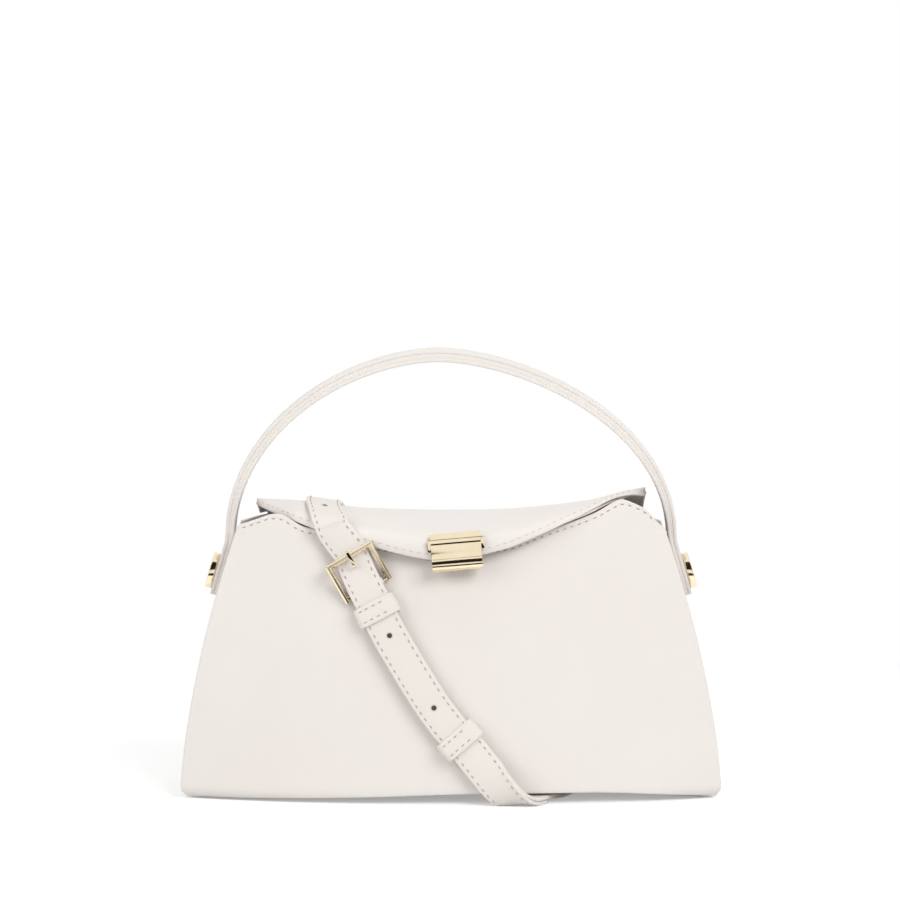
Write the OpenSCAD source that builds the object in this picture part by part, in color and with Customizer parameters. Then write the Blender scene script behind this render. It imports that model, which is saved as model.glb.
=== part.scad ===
// Top handle bag with a flap, a clasp, a stiff arched handle and a buckled strap.
// Origin: centre of the base on the floor. +X right, -Y front, +Z up.

/* [Body] */
// Length of the bag at the base
base_len = 274; // [250:1:300]
// Length of the bag at the top corners
top_len = 214; // [200:1:220]
// Height of the top corners
corner_h = 140; // [135:1:145]
// Depth of the bag at the base
base_depth = 104; // [96:1:112]
// Depth of the bag at the mouth
mouth_depth = 52; // [50:1:56]
// Depth between the side seams at the base
seam_depth = 68; // [64:1:72]
// Depth between the side seams at the top corners
seam_top_depth = 46; // [44:1:48]
// Radius of the bottom edge
foot_r = 6; // [5:0.5:7]
// Height of the arch under the base
base_arch = 4.9; // [4.8:0.1:6]
// Thickness of the outer leather
leather_t = 1.6; // [1.2:0.1:1.8]
// Thickness of the stiffening boards
board_t = 0.8; // [0.6:0.1:1]
// Thickness of the lining
lining_t = 0.6; // [0.5:0.1:0.8]

/* [Flap] */
// Half length of the flap to each side
flap_half = 99.5; // [96:0.5:101]
// Height of the flap's ridge over the middle
ridge_h = 140; // [138:0.5:143]
// Height of the flap's hinge line
hinge_h = 139; // [137:0.5:140]
// Distance of the flap's hinge line behind the middle of the bag
hinge_y = 26; // [25:0.5:27]
// Reach of the flap in front of the middle
flap_reach = 39; // [38:0.5:41]
// Height of the flap's lowest edge at the clasp
flap_tip_h = 121.5; // [120:0.5:124]

/* [Clasp] */
// Width of the clasp
clasp_w = 25.4; // [22:0.2:28]
// Height of the clasp
clasp_h = 20.6; // [18:0.2:22]
// Radius of the rolled lower end of the clasp
clasp_roll_r = 2.6; // [2.4:0.1:3.2]
// Thickness of the clasp's metal
clasp_t = 1.2; // [1:0.1:1.5]

/* [Handle] */
// Height of the handle's pivot
pivot_h = 111.5; // [108:0.5:114]
// Distance from the middle to the outer face of the tabs at the pivot
tab_x = 119.8; // [119:0.1:122]
// Lean of the tabs from upright, in degrees
tab_lean = 16; // [14:0.5:18]
// Radius of the round tabs at the ends of the handle
tab_r = 12.5; // [11.5:0.5:13.5]
// Thickness of the tabs
tab_t = 4; // [3.6:0.1:4.4]
// Width of the handle's arch
handle_w = 20; // [17:0.5:22]
// Thickness of the handle's arch
handle_t = 6.3; // [5.6:0.1:7]
// Rise of the handle's middle line above the tabs
handle_rise = 98; // [88:1:110]
// Diameter of the stud heads
stud_d = 18.6; // [16:0.2:20]
// Thickness of the stud heads
stud_t = 2.3; // [2:0.1:2.8]
// Radius of the stud posts
post_r = 2.5; // [2:0.1:3]
// Running clearance round the stud posts
post_clear = 0.05; // [0.02:0.01:0.1]

/* [Strap] */
// Width of the strap
strap_w = 18; // [16:0.5:20]
// Thickness of one layer of the strap
strap_t = 1.9; // [1.6:0.1:2]
// Gap between stacked layers
layer_gap = 0.25; // [0.2:0.05:0.3]
// Distance from one strap hole to the next
hole_pitch = 43; // [40:1:45]
// Radius of the strap holes
hole_r = 1.4; // [1.2:0.1:1.6]
// Width of the keeper loops along the strap
keeper_w = 10.5; // [9:0.5:12]
// Thickness of the keeper loops
keeper_t = 1.5; // [1.2:0.1:1.6]
// Width of the buckle across the strap
buckle_w = 26.6; // [25:0.1:28]
// Length of the buckle along the strap
buckle_l = 22; // [20:0.5:24]
// Diameter of the buckle's bars
buckle_wire = 2.8; // [2.4:0.1:3]

/* [Rings and hooks] */
// Inner width of the rings
ring_w = 16; // [14:0.5:18]
// Diameter of the wire of the rings
ring_wire = 2.4; // [2:0.1:2.8]
// Drop from a ring's straight bar to its far side
ring_drop = 13; // [12:0.5:15]
// Length of the snap hooks
hook_len = 30; // [28:1:34]

/* [Hidden] */
$fn = 32;
overrun = 1;
soft_gap = 0.3;
leather = [0.93, 0.91, 0.885];
lining_colour = [0.62, 0.52, 0.43];
board_colour = [0.75, 0.7, 0.6];
gold = [0.85, 0.74, 0.52];
steel = [0.6, 0.6, 0.62];

// Outline of the body: half length, half depth in the middle and half depth at the seams
side_bow_share = 1.6;
face_bow_share = 1.5;
front_round_share = 2.4;
function foot_inset(z) = z < foot_r ? foot_r - sqrt(pow(foot_r, 2) - pow(foot_r - z, 2)) : 0;
function mix(a, b, t) = a + (b - a) * t;
function half_len(z) = mix(base_len, top_len, pow(z / corner_h, side_bow_share)) / 2
    - foot_inset(z);
function seam_y(z) = mix(seam_depth, seam_top_depth, pow(z / corner_h, side_bow_share)) / 2
    - foot_inset(z);
function face_y(z) = mix(base_depth, mouth_depth, pow(z / corner_h, face_bow_share)) / 2
    - foot_inset(z);

// Smooth curve through a list of [place, value] pairs
function span_of(p, x, i = 0) = i >= len(p) - 2 || x < p[i + 1][0] ? i : span_of(p, x, i + 1);
function rise(p, i, j) = (p[j][1] - p[i][1]) / (p[j][0] - p[i][0]);
function slope(p, i) = rise(p, max(i - 1, 0), min(i + 1, len(p) - 1));
function along(p, x) =
    let (i = span_of(p, x), h = p[i + 1][0] - p[i][0], t = (x - p[i][0]) / h)
    p[i][1] * (1 + 2 * t) * pow(1 - t, 2) + slope(p, i) * h * t * pow(1 - t, 2)
    + p[i + 1][1] * t * t * (3 - 2 * t) + slope(p, i + 1) * h * t * t * (t - 1);

// Top edge of the front panel: shares of the half length, then of the corner height
front_top_shares = [[-1, 0.985], [-0.95, 0.998], [-0.9, 1.013], [-0.86, 1.024],
    [-0.8, 1.022], [-0.7, 0.984], [-0.6, 0.968], [-0.48, 0.943], [-0.38, 0.923], [-0.2, 0.905],
    [0, 0.9], [0.14, 0.905], [0.27, 0.92], [0.42, 0.962], [0.56, 0.997], [0.644, 1.018],
    [0.706, 1.036], [0.795, 1.068], [0.838, 1.077], [0.875, 1.068], [0.936, 1.041],
    [0.966, 1.004], [1, 0.968]];
function front_top(s) = corner_h * along(front_top_shares, s);
// Top edge of the back panel: shares of the half length, then of the hinge line's height
back_top_shares = [[-1, 0.975], [-0.88, 1.0], [-0.7, 0.998], [-0.4, 0.988], [0, 0.984],
    [0.4, 0.988], [0.7, 0.999], [0.88, 1.002], [1, 0.975]];
function back_top(s) = hinge_h * along(back_top_shares, s);

// Arch of the underside of the base, over shares of the half length
arch_shares = [[-1, 0], [-0.85, 0], [-0.72, 0.03], [-0.35, 0.45], [0, 0.9], [0.25, 1], [0.5, 1],
    [0.68, 0.9], [0.84, 0.1], [0.9, 0], [1, 0]];
function arch(s) = base_arch * max(0, along(arch_shares, s));

// A point of the front face at share s of its length, height z and depth d below the skin
function wall_y(s, z, d) =
    seam_y(z) - d + (face_y(z) - seam_y(z)) * (1 - pow(abs(s), front_round_share));
function front_point(s, z, d) = [s * half_len(z), -wall_y(s, z, d), z];
function front_skin(x, z, d) = front_point(x / half_len(z), z, d);

// Closed solid between two grids of points with the same rows and columns
function grid_faces(r, c, base, flip) = [for (i = [0 : r - 2], j = [0 : c - 2], k = [0, 1])
    let (a = base + i * c + j, b = a + 1, e = a + c, f = e + 1,
        tri = k == 0 ? [a, b, f] : [a, f, e])
    flip ? [tri[0], tri[2], tri[1]] : tri];
function rim(r, c) = concat([for (j = [0 : c - 2]) j],
    [for (i = [0 : r - 2]) i * c + c - 1],
    [for (j = [c - 1 : -1 : 1]) (r - 1) * c + j],
    [for (i = [r - 1 : -1 : 1]) i * c]);
function rim_faces(r, c, flip) = let (loop = rim(r, c), n = len(loop), m = r * c)
    [for (k = [0 : n - 1], h = [0, 1])
        let (a = loop[k], b = loop[(k + 1) % n],
            tri = h == 0 ? [a, a + m, b + m] : [a, b + m, b])
        flip ? [tri[0], tri[2], tri[1]] : tri];
module slab(outer, inner, flip = false) {
    r = len(outer);
    c = len(outer[0]);
    points = concat([for (row = outer, p = row) p], [for (row = inner, p = row) p]);
    polyhedron(points, concat(grid_faces(r, c, 0, flip), grid_faces(r, c, r * c, !flip),
        rim_faces(r, c, flip)), convexity = 8);
}

// Front or back sheet of the body between depths d0 and d1
face_rows = 9;
face_cols = 25;
row_share = 1.5;
function sheet_grid(side, d, low, drop, width_share) = [for (i = [0 : face_rows - 1])
    [for (j = [0 : face_cols - 1])
        let (s = (2 * j / (face_cols - 1) - 1) * width_share,
            top = (side < 0 ? front_top(s) : back_top(s)) - drop,
            z = mix(low + arch(s), top, pow(i / (face_rows - 1), row_share)),
            p = front_point(s, z, d))
        [p[0], side * -p[1], p[2]]]];
module face_sheet(side, d0, d1, low, drop, width_share = 1) {
    slab(sheet_grid(side, d0, low, drop, width_share),
        sheet_grid(side, d1, low, drop, width_share), side > 0);
}
panel_low = 0.4;
board_d = leather_t + soft_gap;
lining_d = board_d + board_t + soft_gap;
inner_d = lining_d + lining_t;
board_low = foot_r + leather_t;
edge_drop = 4;
module front_panel() color(leather) face_sheet(-1, 0, leather_t, panel_low, 0);
module back_panel() color(leather) face_sheet(1, 0, leather_t, panel_low, 0);
board_width_share = 0.95;
module front_stiffener() color(board_colour) difference() {
    face_sheet(-1, board_d, board_d + board_t, board_low, edge_drop, board_width_share);
    on_skin(clasp_x, seat_z) cylinder(h = foot_r * 2, r = seat_magnet_r + soft_gap, center = true);
}
module back_stiffener() color(board_colour)
    face_sheet(1, board_d, board_d + board_t, board_low, edge_drop, board_width_share);
lining_width_share = 0.965;
module front_lining() color(lining_colour)
    face_sheet(-1, lining_d, inner_d, board_low, edge_drop / 2, lining_width_share);
module back_lining() color(lining_colour)
    face_sheet(1, lining_d, inner_d, board_low, edge_drop / 2, lining_width_share);

// Side gusset, set in between the seams and hollowed towards its middle
gusset_recess = 2;
gusset_dish = 1.2;
gusset_top_h = 0.965 * corner_h;
gusset_dip = 5;
gusset_rows = 9;
gusset_cols = 9;
function gusset_grid(side, d, edge, low) = [for (i = [0 : gusset_rows - 1]) [for (j = [0 : gusset_cols - 1])
    let (q = 2 * j / (gusset_cols - 1) - 1,
        top = gusset_top_h - gusset_dip * (1 - q * q),
        z = mix(low, top, pow(i / (gusset_rows - 1), row_share)),
        y = q * (seam_y(z) - edge - soft_gap))
    [side * (half_len(z) - gusset_recess - gusset_dish * (1 - q * q) - d), y, z]]];
module gusset(side) {
    difference() {
        slab(gusset_grid(side, 0, leather_t, panel_low),
            gusset_grid(side, leather_t, leather_t, panel_low), side < 0);
        pivot_bore(side, grommet_r + soft_gap / 2);
    }
}
module pivot_bore(side, r)
    translate([side * tab_x, 0, pivot_h]) rotate([0, 90, 0])
        cylinder(h = tab_r * 2, r = r, center = true);
module gusset_left() color(leather) gusset(-1);
module gusset_right() color(leather) gusset(1);
module gusset_lining(side) {
    difference() {
        slab(gusset_grid(side, leather_t + soft_gap, inner_d, foot_r),
            gusset_grid(side, leather_t + soft_gap + lining_t, inner_d, foot_r), side < 0);
        pivot_bore(side, grommet_r + soft_gap / 2);
    }
}
module gusset_lining_left() color(lining_colour) gusset_lining(-1);
module gusset_lining_right() color(lining_colour) gusset_lining(1);

// Base: outer leather, board and lining, all over the arched underside
base_cols = 25;
base_rows = 7;
base_gap = 0.4;
function base_grid(lift, inset) = [for (i = [0 : base_rows - 1]) [for (j = [0 : base_cols - 1])
    let (s = 2 * j / (base_cols - 1) - 1, q = 2 * i / (base_rows - 1) - 1,
        w = wall_y(s, panel_low + base_gap, leather_t + inset))
    [s * (half_len(panel_low) - gusset_recess - gusset_dish - leather_t - inset), q * w,
        arch(s) + lift]]];
module base_panel() color(leather)
    slab(base_grid(leather_t, base_gap), base_grid(0, base_gap));
base_board_low = leather_t + soft_gap;
base_board_t = 1.6;
module base_board() color(board_colour)
    slab(base_grid(base_board_low + base_board_t, leather_t), base_grid(base_board_low, leather_t));
base_lining_low = base_board_low + base_board_t + soft_gap;
module base_lining() color(lining_colour)
    slab(base_grid(base_lining_low + lining_t, leather_t), base_grid(base_lining_low, leather_t));

// Flap: a sheet from the back edge, over the mouth and down to the clasp
flap_layer = 1.2;
flap_board_t = 0.4;
flap_seam = 0.15;
flap_t = 2 * flap_layer + flap_board_t + 2 * flap_seam;
flap_cols = 33;
flap_rows = 9;
ridge_shares = [[-1, 0.061], [-0.75, 0.054], [-0.5, 0.024], [-0.25, 0.0065], [0, 0],
    [0.25, 0.009], [0.5, 0.036], [0.71, 0.061], [0.87, 0.087], [1, 0.1]];
reach_shares = [[-1, 0.02], [-0.96, 0.19], [-0.88, 0.4], [-0.79, 0.6], [-0.6, 0.79],
    [-0.4, 0.91], [-0.2, 0.98], [0, 1], [0.2, 0.98], [0.4, 0.9], [0.6, 0.76], [0.72, 0.64],
    [0.83, 0.41], [0.93, 0.17], [1, 0]];
low_shares = [[-1, 0.178], [-0.89, 0.152], [-0.79, 0.131], [-0.64, 0.096], [-0.38, 0.046],
    [-0.25, 0.022], [-0.08, 0.002], [0.05, 0.004], [0.16, 0.022], [0.3, 0.048], [0.46, 0.094],
    [0.62, 0.146], [0.72, 0.182], [0.83, 0.211], [0.93, 0.216], [1, 0.205]];
front_pull_shares = [0.8, 1.25];
steep_h = 20;
back_pull_share = 0.4;
back_gap = 0.6;
function bezier(a, b, c, d, t) = a * pow(1 - t, 3) + 3 * b * t * pow(1 - t, 2)
    + 3 * c * t * t * (1 - t) + d * pow(t, 3);
function flap_point(u, t) =
    let (x = u * flap_half, s = x / half_len(corner_h),
        z0 = back_top(s) + flap_t + back_gap,
        y0 = hinge_y * wall_y(s, corner_h, 0) / wall_y(0, corner_h, 0),
        y3 = -flap_reach * along(reach_shares, u),
        z3 = flap_tip_h + corner_h * along(low_shares, u),
        zm = (8 * (ridge_h + corner_h * along(ridge_shares, u)) - z0 - z3) / 6,
        pull = mix(front_pull_shares[0], front_pull_shares[1],
            max(0, min(1, (zm - z3) / steep_h))))
    [x, bezier(y0, y0 * back_pull_share, y3 * pull, y3, t),
        bezier(z0, zm, zm, z3, t)];
function unit(v) = v / norm(v);
small_share = 0.04;
function flap_normal(u, t) = unit(cross(
    flap_point(min(u + small_share, 1), t) - flap_point(max(u - small_share, -1), t),
    flap_point(u, max(t - small_share, 0)) - flap_point(u, min(t + small_share, 1))));
function flap_grid(d, inset) = [for (i = [inset : flap_rows - 1 - inset])
    [for (j = [inset : flap_cols - 1 - inset])
        let (u = 2 * j / (flap_cols - 1) - 1, t = i / (flap_rows - 1))
        flap_point(u, t) - flap_normal(u, t) * d]];
module flap_sheet(d0, d1, inset) difference() {
    slab(flap_grid(d1, inset), flap_grid(d0, inset));
    rivet_bores();
}
module flap_leather() color(leather) flap_sheet(0, flap_layer, 0);
module flap_board() color(board_colour)
    flap_sheet(flap_layer + flap_seam, flap_layer + flap_seam + flap_board_t, 1);
module flap_lining() color(leather) flap_sheet(flap_t - flap_layer, flap_t, 0);

// Clasp: a folded plate on the flap, with a rolled end below the flap's edge
clasp_x = 3.1;
clasp_roll = 5;
clasp_lean = 3;
crease_share = 0.6;
crease_lean = 45;
clasp_stand = 1.3;
clasp_plate_h = clasp_h - 2 * clasp_roll_r;
crease_h = crease_share * clasp_plate_h;
ear_w = 2.3;
clasp_base_w = clasp_w + 2 * ear_w;
clasp_base_h = 7;
clasp_base_t = 1;
clasp_y = flap_reach + clasp_stand;
clasp_z = flap_tip_h + soft_gap;
magnet_r = clasp_roll_r - clasp_t;
magnet_gap = 0.05;
roll_y = clasp_roll_r - clasp_base_t - clasp_t;
rivet_r = 1.2;
rivet_span = 16;
rivet_up_share = 0.33;
module at_clasp() translate([clasp_x, -clasp_y, clasp_z]) rotate([clasp_lean, 0, 0])
    rotate([0, -clasp_roll, 0]) children();
module across(w) rotate([90, 0, 90]) linear_extrude(w, center = true) children();
module clasp_cover() color(gold) at_clasp() {
    across(clasp_w) {
        difference() {
            union() {
                translate([roll_y - clasp_roll_r, -clasp_roll_r])
                    square([clasp_t, crease_h + clasp_roll_r]);
                translate([roll_y - clasp_roll_r, crease_h]) rotate(-crease_lean)
                    square([clasp_t, (clasp_plate_h - crease_h) / cos(crease_lean)]);
                translate([roll_y, -clasp_roll_r]) circle(r = clasp_roll_r);
            }
            translate([roll_y, -clasp_roll_r]) circle(r = magnet_r + magnet_gap);
        }
    }
}
module clasp_base() color(gold) at_clasp()
    translate([0, -clasp_base_t / 2, clasp_plate_h * rivet_up_share])
        difference() {
            cube([clasp_base_w, clasp_base_t, clasp_base_h], center = true);
            rivet_places() rotate([90, 0, 0])
                cylinder(h = 2 * clasp_t, r = rivet_r, center = true);
        }
module rivet_places() for (side = [-1, 1]) translate([side * rivet_span / 2, 0, 0]) children();
rivet_len = flap_t + clasp_stand + clasp_base_t + 5 * soft_gap;
module rivet_bores() at_clasp() translate([0, flap_t, clasp_plate_h * rivet_up_share])
    rivet_places() rotate([90, 0, 0]) cylinder(h = 2 * rivet_len, r = rivet_r, center = true);
module clasp_rivets() color(steel) at_clasp()
    translate([0, rivet_len - clasp_base_t, clasp_plate_h * rivet_up_share])
        rivet_places() rotate([90, 0, 0]) {
            cylinder(h = rivet_len, r = rivet_r);
            cylinder(h = soft_gap, r = 2 * rivet_r);
        }
module clasp_magnet() color(steel) at_clasp()
    across(clasp_w - 2 * overrun) translate([roll_y, -clasp_roll_r])
        circle(r = magnet_r);

// Lower half of the clasp on the front panel, with its magnet behind the leather
seat_w = 20;
seat_h = 10;
seat_t = 1;
seat_z = 118;
seat_magnet_r = 6.5;
seat_magnet_t = board_t - soft_gap / 3;
function skin_normal(x, z) =
    let (e = overrun, a = front_skin(x + e, z, 0) - front_skin(x - e, z, 0),
        b = front_skin(x, z + e, 0) - front_skin(x, z - e, 0))
    unit(cross(a, b));
function frame_of(p, n, down) = let (d = unit(down - n * (down * n)), w = cross(n, d))
    [[w[0], -d[0], n[0], p[0]], [w[1], -d[1], n[1], p[1]], [w[2], -d[2], n[2], p[2]],
        [0, 0, 0, 1]];
module on_skin(x, z, lean = 0) multmatrix(frame_of(front_skin(x, z, 0), skin_normal(x, z),
    [sin(lean), 0, -cos(lean)])) children();
module seat_plate() color(gold) on_skin(clasp_x, seat_z)
    translate([0, 0, seat_t / 2 + soft_gap / 3]) cube([seat_w, seat_h, seat_t], center = true);
module seat_magnet() color(steel) on_skin(clasp_x, seat_z)
    translate([0, 0, -board_d - board_t]) cylinder(h = seat_magnet_t, r = seat_magnet_r);

// Handle: middle line from the left tab over the arch to the right tab
arch_share = 1.15;
arch_skew = 6.5;
skew_share = 2.5;
arch_low_h = 130;
arch_half = tab_x - tab_t / 2 / cos(tab_lean) - (arch_low_h - pivot_h) * tan(tab_lean);
handle_layer = 1.9;
core_gap = 0.1;
function arch_point(a) = [sign(cos(a)) * arch_half * pow(abs(cos(a)), arch_share)
    - arch_skew * pow(sin(a), skew_share),
    arch_low_h + handle_rise * mid_share * sin(a)];
mid_share = 0.943;
function tab_point(side, r) = [side * (tab_x - tab_t / 2 / cos(tab_lean) - r * sin(tab_lean)),
    pivot_h + r * cos(tab_lean)];
tab_steps = [-1, -0.93, -0.75, -0.45, 0, 0.5, 1, 1.35];
arch_steps = 32;
function station(side, k) = let (r = k * tab_r)
    [tab_point(side, r), r < 0 ? sqrt(max(pow(tab_r, 2) - r * r, 1))
        : mix(tab_r, handle_w / 2, min(k / 1.35, 1)), tab_t];
thick_share = 0.45;
function arch_station(a) = [arch_point(a), handle_w / 2,
    mix(tab_t, handle_t, pow(sin(a), thick_share))];
function handle_line() = concat([for (k = tab_steps) station(-1, k)],
    [for (i = [1 : arch_steps - 1]) arch_station(180 - 180 * i / arch_steps)],
    [for (i = [len(tab_steps) - 1 : -1 : 0]) station(1, tab_steps[i])]);
function outward(line, i) = let (a = line[max(i - 1, 0)][0], b = line[min(i + 1, len(line) - 1)][0],
    d = unit(b - a)) [-d[1], d[0]];
function handle_row(line, i, h, w, bevel) = let (p = line[i][0], n = outward(line, i),
    q = p + n * h, e = p + n * (h - bevel))
    [[e[0], -w, e[1]], [q[0], -w + abs(bevel), q[1]], [q[0], w - abs(bevel), q[1]],
        [e[0], w, e[1]]];
edge_bevel = 1;
module handle_layer(up) {
    line = handle_line();
    slab([for (i = [0 : len(line) - 1])
            handle_row(line, i, up * line[i][2] / 2, line[i][1], up * edge_bevel)],
        [for (i = [0 : len(line) - 1])
            handle_row(line, i, up * (line[i][2] / 2 - handle_layer), line[i][1], 0)],
        up > 0);
}
module handle_outer() color(leather) difference() {
    handle_layer(1);
    tab_bores();
}
module handle_inner() color(leather) difference() {
    handle_layer(-1);
    tab_bores();
}
module tab_bores() for (side = [-1, 1]) pivot_bore(side, post_r + post_clear);
core_inset = 1.5;
module handle_core() color(board_colour) {
    line = handle_line();
    skip = len(tab_steps) + 1;
    span = [for (i = [skip : len(line) - 1 - skip]) i];
    slab([for (i = span) core_row(line, i, 1)], [for (i = span) core_row(line, i, -1)], true);
}
function core_row(line, i, up) = let (p = line[i][0] + outward(line, i)
        * up * max(line[i][2] / 2 - handle_layer - core_gap, core_gap), w = line[i][1] - core_inset)
    [[p[0], -w, p[1]], [p[0], w, p[1]]];

// Studs: a leaning head and neck on a level post that ends in a nut inside the bag
neck_r = 4.5;
neck_l = 0.8;
nut_r = 6;
nut_t = 2.5;
nut_inset = 14.6;
nut_x = tab_x - nut_inset;
grommet_r = 4.5;
flange_r = 6.6;
flange_t = 0.8;
module stud(side) {
    translate([side * nut_x, 0, pivot_h]) rotate([0, side * 90, 0])
        cylinder(h = tab_x - nut_x, r = post_r);
    translate([side * (tab_x - neck_l), 0, pivot_h]) rotate([0, side * 90, 0])
        cylinder(h = 2 * neck_l, r = post_r);
    translate([side * tab_x, 0, pivot_h]) rotate([0, side * (90 - tab_lean), 0]) {
        translate([0, 0, soft_gap]) cylinder(h = neck_l, r = neck_r);
        translate([0, 0, soft_gap + neck_l]) cylinder(h = stud_t, d = stud_d);
    }
}
module stud_left() color(gold) stud(-1);
module stud_right() color(gold) stud(1);
module stud_nut(side) translate([side * (nut_x + nut_t / 2), 0, pivot_h]) rotate([0, 90, 0])
    difference() {
        cylinder(h = nut_t, r = nut_r, center = true);
        cylinder(h = nut_t + overrun, r = post_r, center = true);
    }
module stud_nut_left() color(steel) stud_nut(-1);
module stud_nut_right() color(steel) stud_nut(1);
function gusset_x() = half_len(pivot_h) - gusset_recess - gusset_dish;
grommet_in = gusset_x() - 2 * leather_t - soft_gap;
grommet_out = gusset_x() + flange_t;
module grommet(side) difference() {
    union() {
        translate([side * grommet_in, 0, pivot_h]) rotate([0, side * 90, 0])
            cylinder(h = grommet_out - grommet_in, r = grommet_r);
        translate([side * (gusset_x() + soft_gap), 0, pivot_h])
            rotate([0, side * (90 - tab_lean), 0]) cylinder(h = flange_t, r = flange_r);
    }
    pivot_bore(side, post_r + post_clear);
}
module grommet_left() color(gold) grommet(-1);
module grommet_right() color(gold) grommet(1);

// Strap down the front: its middle line over shares of the corner height, and its lift
line_shares = [[0.146, 0.111], [0.231, 0.032], [0.343, -0.062], [0.594, -0.223],
    [0.681, -0.269], [0.818, -0.34], [0.974, -0.403], [1.08, -0.46]];
keeper_room = keeper_t + 2 * soft_gap;
tail_lift = keeper_room;
billet_lift = tail_lift + strap_t + layer_gap;
bump = 0.2;
buckle_lift = billet_lift + bump;
lift_shares = [[0.14, 0], [0.7, 0], [0.76, 1], [0.885, 1], [0.925, 2.2], [1.05, 3]];
function strap_x(z) = base_len / 2 * along(line_shares, z / corner_h);
function strap_lean(z) = atan((strap_x(z) - strap_x(z + overrun)) / overrun);
function strap_skin(z, h) = let (x = strap_x(z))
    front_skin(x, z, 0) + skin_normal(x, z) * h;
function billet_h(z) = billet_lift + bump * along(lift_shares, z / corner_h);

// Each place on the strap is its middle on the bag's side and its outward normal.
// The roll before the base: shares of the half base length, foot radius and roll height
roll_z = 0.15 * corner_h;
floor_gap = 0.1;
stack_h = 2 * strap_t + layer_gap + floor_gap;
floor_z = strap_t + floor_gap;
front_y = face_y(foot_r);
half_base = base_len / 2;
roll_shares = [[0.142, 0.43, 0.74, -0.97, -0.15], [0.175, 0.87, 0.52, -0.9, -0.4],
    [0.208, 1, 0.34, -0.7, -0.7], [0.237, 0.67, 0.235, -0.35, -0.93],
    [0.27, -0.17, 0, 0, -1], [0.299, -1.17, 0, 0, -1]];
function roll_route() = [for (q = roll_shares) [[q[0] * half_base, -front_y - q[1] * foot_r,
    max(q[2] * roll_z, stack_h)], [0, q[3], q[4]]]];
// Places behind and under the bag: shares of the half base length, then of the corner height
under_shares = [[0.328, -0.26, 0.023, 0, -1], [0.365, -0.19, 0, 0, -1], [0.416, -0.058, 0, 0, -1],
    [0.467, 0.102, 0, 0, -1], [0.504, 0.248, 0, 0, -1], [0.533, 0.423, 0, 0, -1]];
right_shares = [[0.562, 0.7, 0.125, 0.1, 1], [0.584, 0.57, 0.111, 0.3, 0.95],
    [0.606, 0.467, 0.136, 0.7, 0.7], [0.624, 0.405, 0.207, 0.93, 0.35],
    [0.639, 0.35, 0.32, 0.97, 0.24]];
left_fall_shares = [[-0.642, 0.35, 0.32, -0.98, -0.2], [-0.639, 0.394, 0.171, -0.9, -0.4],
    [-0.631, 0.46, 0.064, -0.6, -0.8], [-0.624, 0.54, 0.024, -0.2, -0.98],
    [-0.617, 0.642, 0, 0, -1], [-0.609, 0.76, 0, 0, -1]];
left_rise_shares = [[-0.547, 0.715, 0.118, 0.1, 1], [-0.522, 0.6, 0.093, 0.15, 0.99],
    [-0.496, 0.504, 0.086, 0.5, 0.87], [-0.482, 0.442, 0.136, 0.9, 0.4]];
function places(shares) = [for (q = shares)
    [[q[0] * half_base, q[1] * half_base, max(q[2] * corner_h, floor_z)], [0, q[3], q[4]]]];
// Slack loop on the floor: a half turn up and over, in shares of the half base length
turn_r = 8;
turn_y = 0.861 * half_base;
turn_steps = 8;
function loop_turn(x0_share, x1_share) = [for (i = [0 : turn_steps])
    let (a = 180 * i / turn_steps, x = mix(x0_share, x1_share, i / turn_steps) * half_base)
    [[x, turn_y + turn_r * sin(a), floor_z + turn_r * (1 - cos(a))], [0, sin(a), -cos(a)]]];
right_turn_shares = [0.54, 0.555];
left_turn_shares = [-0.599, -0.569];
// The strap's ends are folded round the bars of the hooks
ring_x = 0.642 * half_base;
end_bar_r = 1.1;
end_clear = 0.1;
function ring_low(side) = [side * ring_x, ring_y + ring_drop * sin(ring_lean),
    ring_z - ring_drop * cos(ring_lean)];
function hook_end(side) = ring_low(side) + hook_len * [0, sin(hook_lean), -cos(hook_lean)];
end_r = end_bar_r + end_clear;
end_leg = 12;
fold_angles = [0, 40, 80, 120, 160, 180];
function end_fold(side, n0, d) = let (n = unit(n0), up = unit(d - n * (d * n)))
    concat([for (a = fold_angles) let (m = n * cos(a) + up * sin(a)) [hook_end(side) + m * end_r, m]],
        [[hook_end(side) - n * end_r - up * end_leg, -n]]);
function reversed(v) = [for (i = [len(v) - 1 : -1 : 0]) v[i]];
right_end_n = [0, 0.97, 0.24];
left_end_n = [0, -0.99, -0.14];
back_lift = 1.5;
climb_shares = [0.21, 0.36, 0.5, 0.64, 0.77, 0.87, 0.94, 0.985];
climb_x_shares = [-0.478, -0.46];
climb_tilt_share = 0.28;
function back_climb() = [for (k = climb_shares)
    let (z = k * corner_h, x = mix(climb_x_shares[0], climb_x_shares[1], k) * half_base)
    [[x, wall_y(x / half_len(z), z, 0) + back_lift, z], unit([0, 1, climb_tilt_share])]];
front_step = 5.4;
function front_z(i) = roll_z + i * front_step;
function front_row(z, shear = 0, extra = 0) =
    [strap_skin(z, tail_lift), skin_normal(strap_x(z), z), shear, extra];
// Flat strip swept along a route, between heights h0 and h1 above it. A place may also carry
// a shear of its cross line and an extra height.
function given(v) = is_undef(v) ? 0 : v;
function strip_row(route, i, h, w) = let (n0 = unit(route[i][1]),
    d = unit(route[min(i + 1, len(route) - 1)][0] - route[max(i - 1, 0)][0]),
    n = unit(n0 - d * (d * n0)), p = route[i][0] + n * (h + given(route[i][3])),
    side = cross(n, d) + d * given(route[i][2]))
    [p - side * w / 2, p + side * w / 2];
module strip(route, h0, h1, w) slab([for (i = [0 : len(route) - 1]) strip_row(route, i, h1, w)],
    [for (i = [0 : len(route) - 1]) strip_row(route, i, h0, w)], true);

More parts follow.
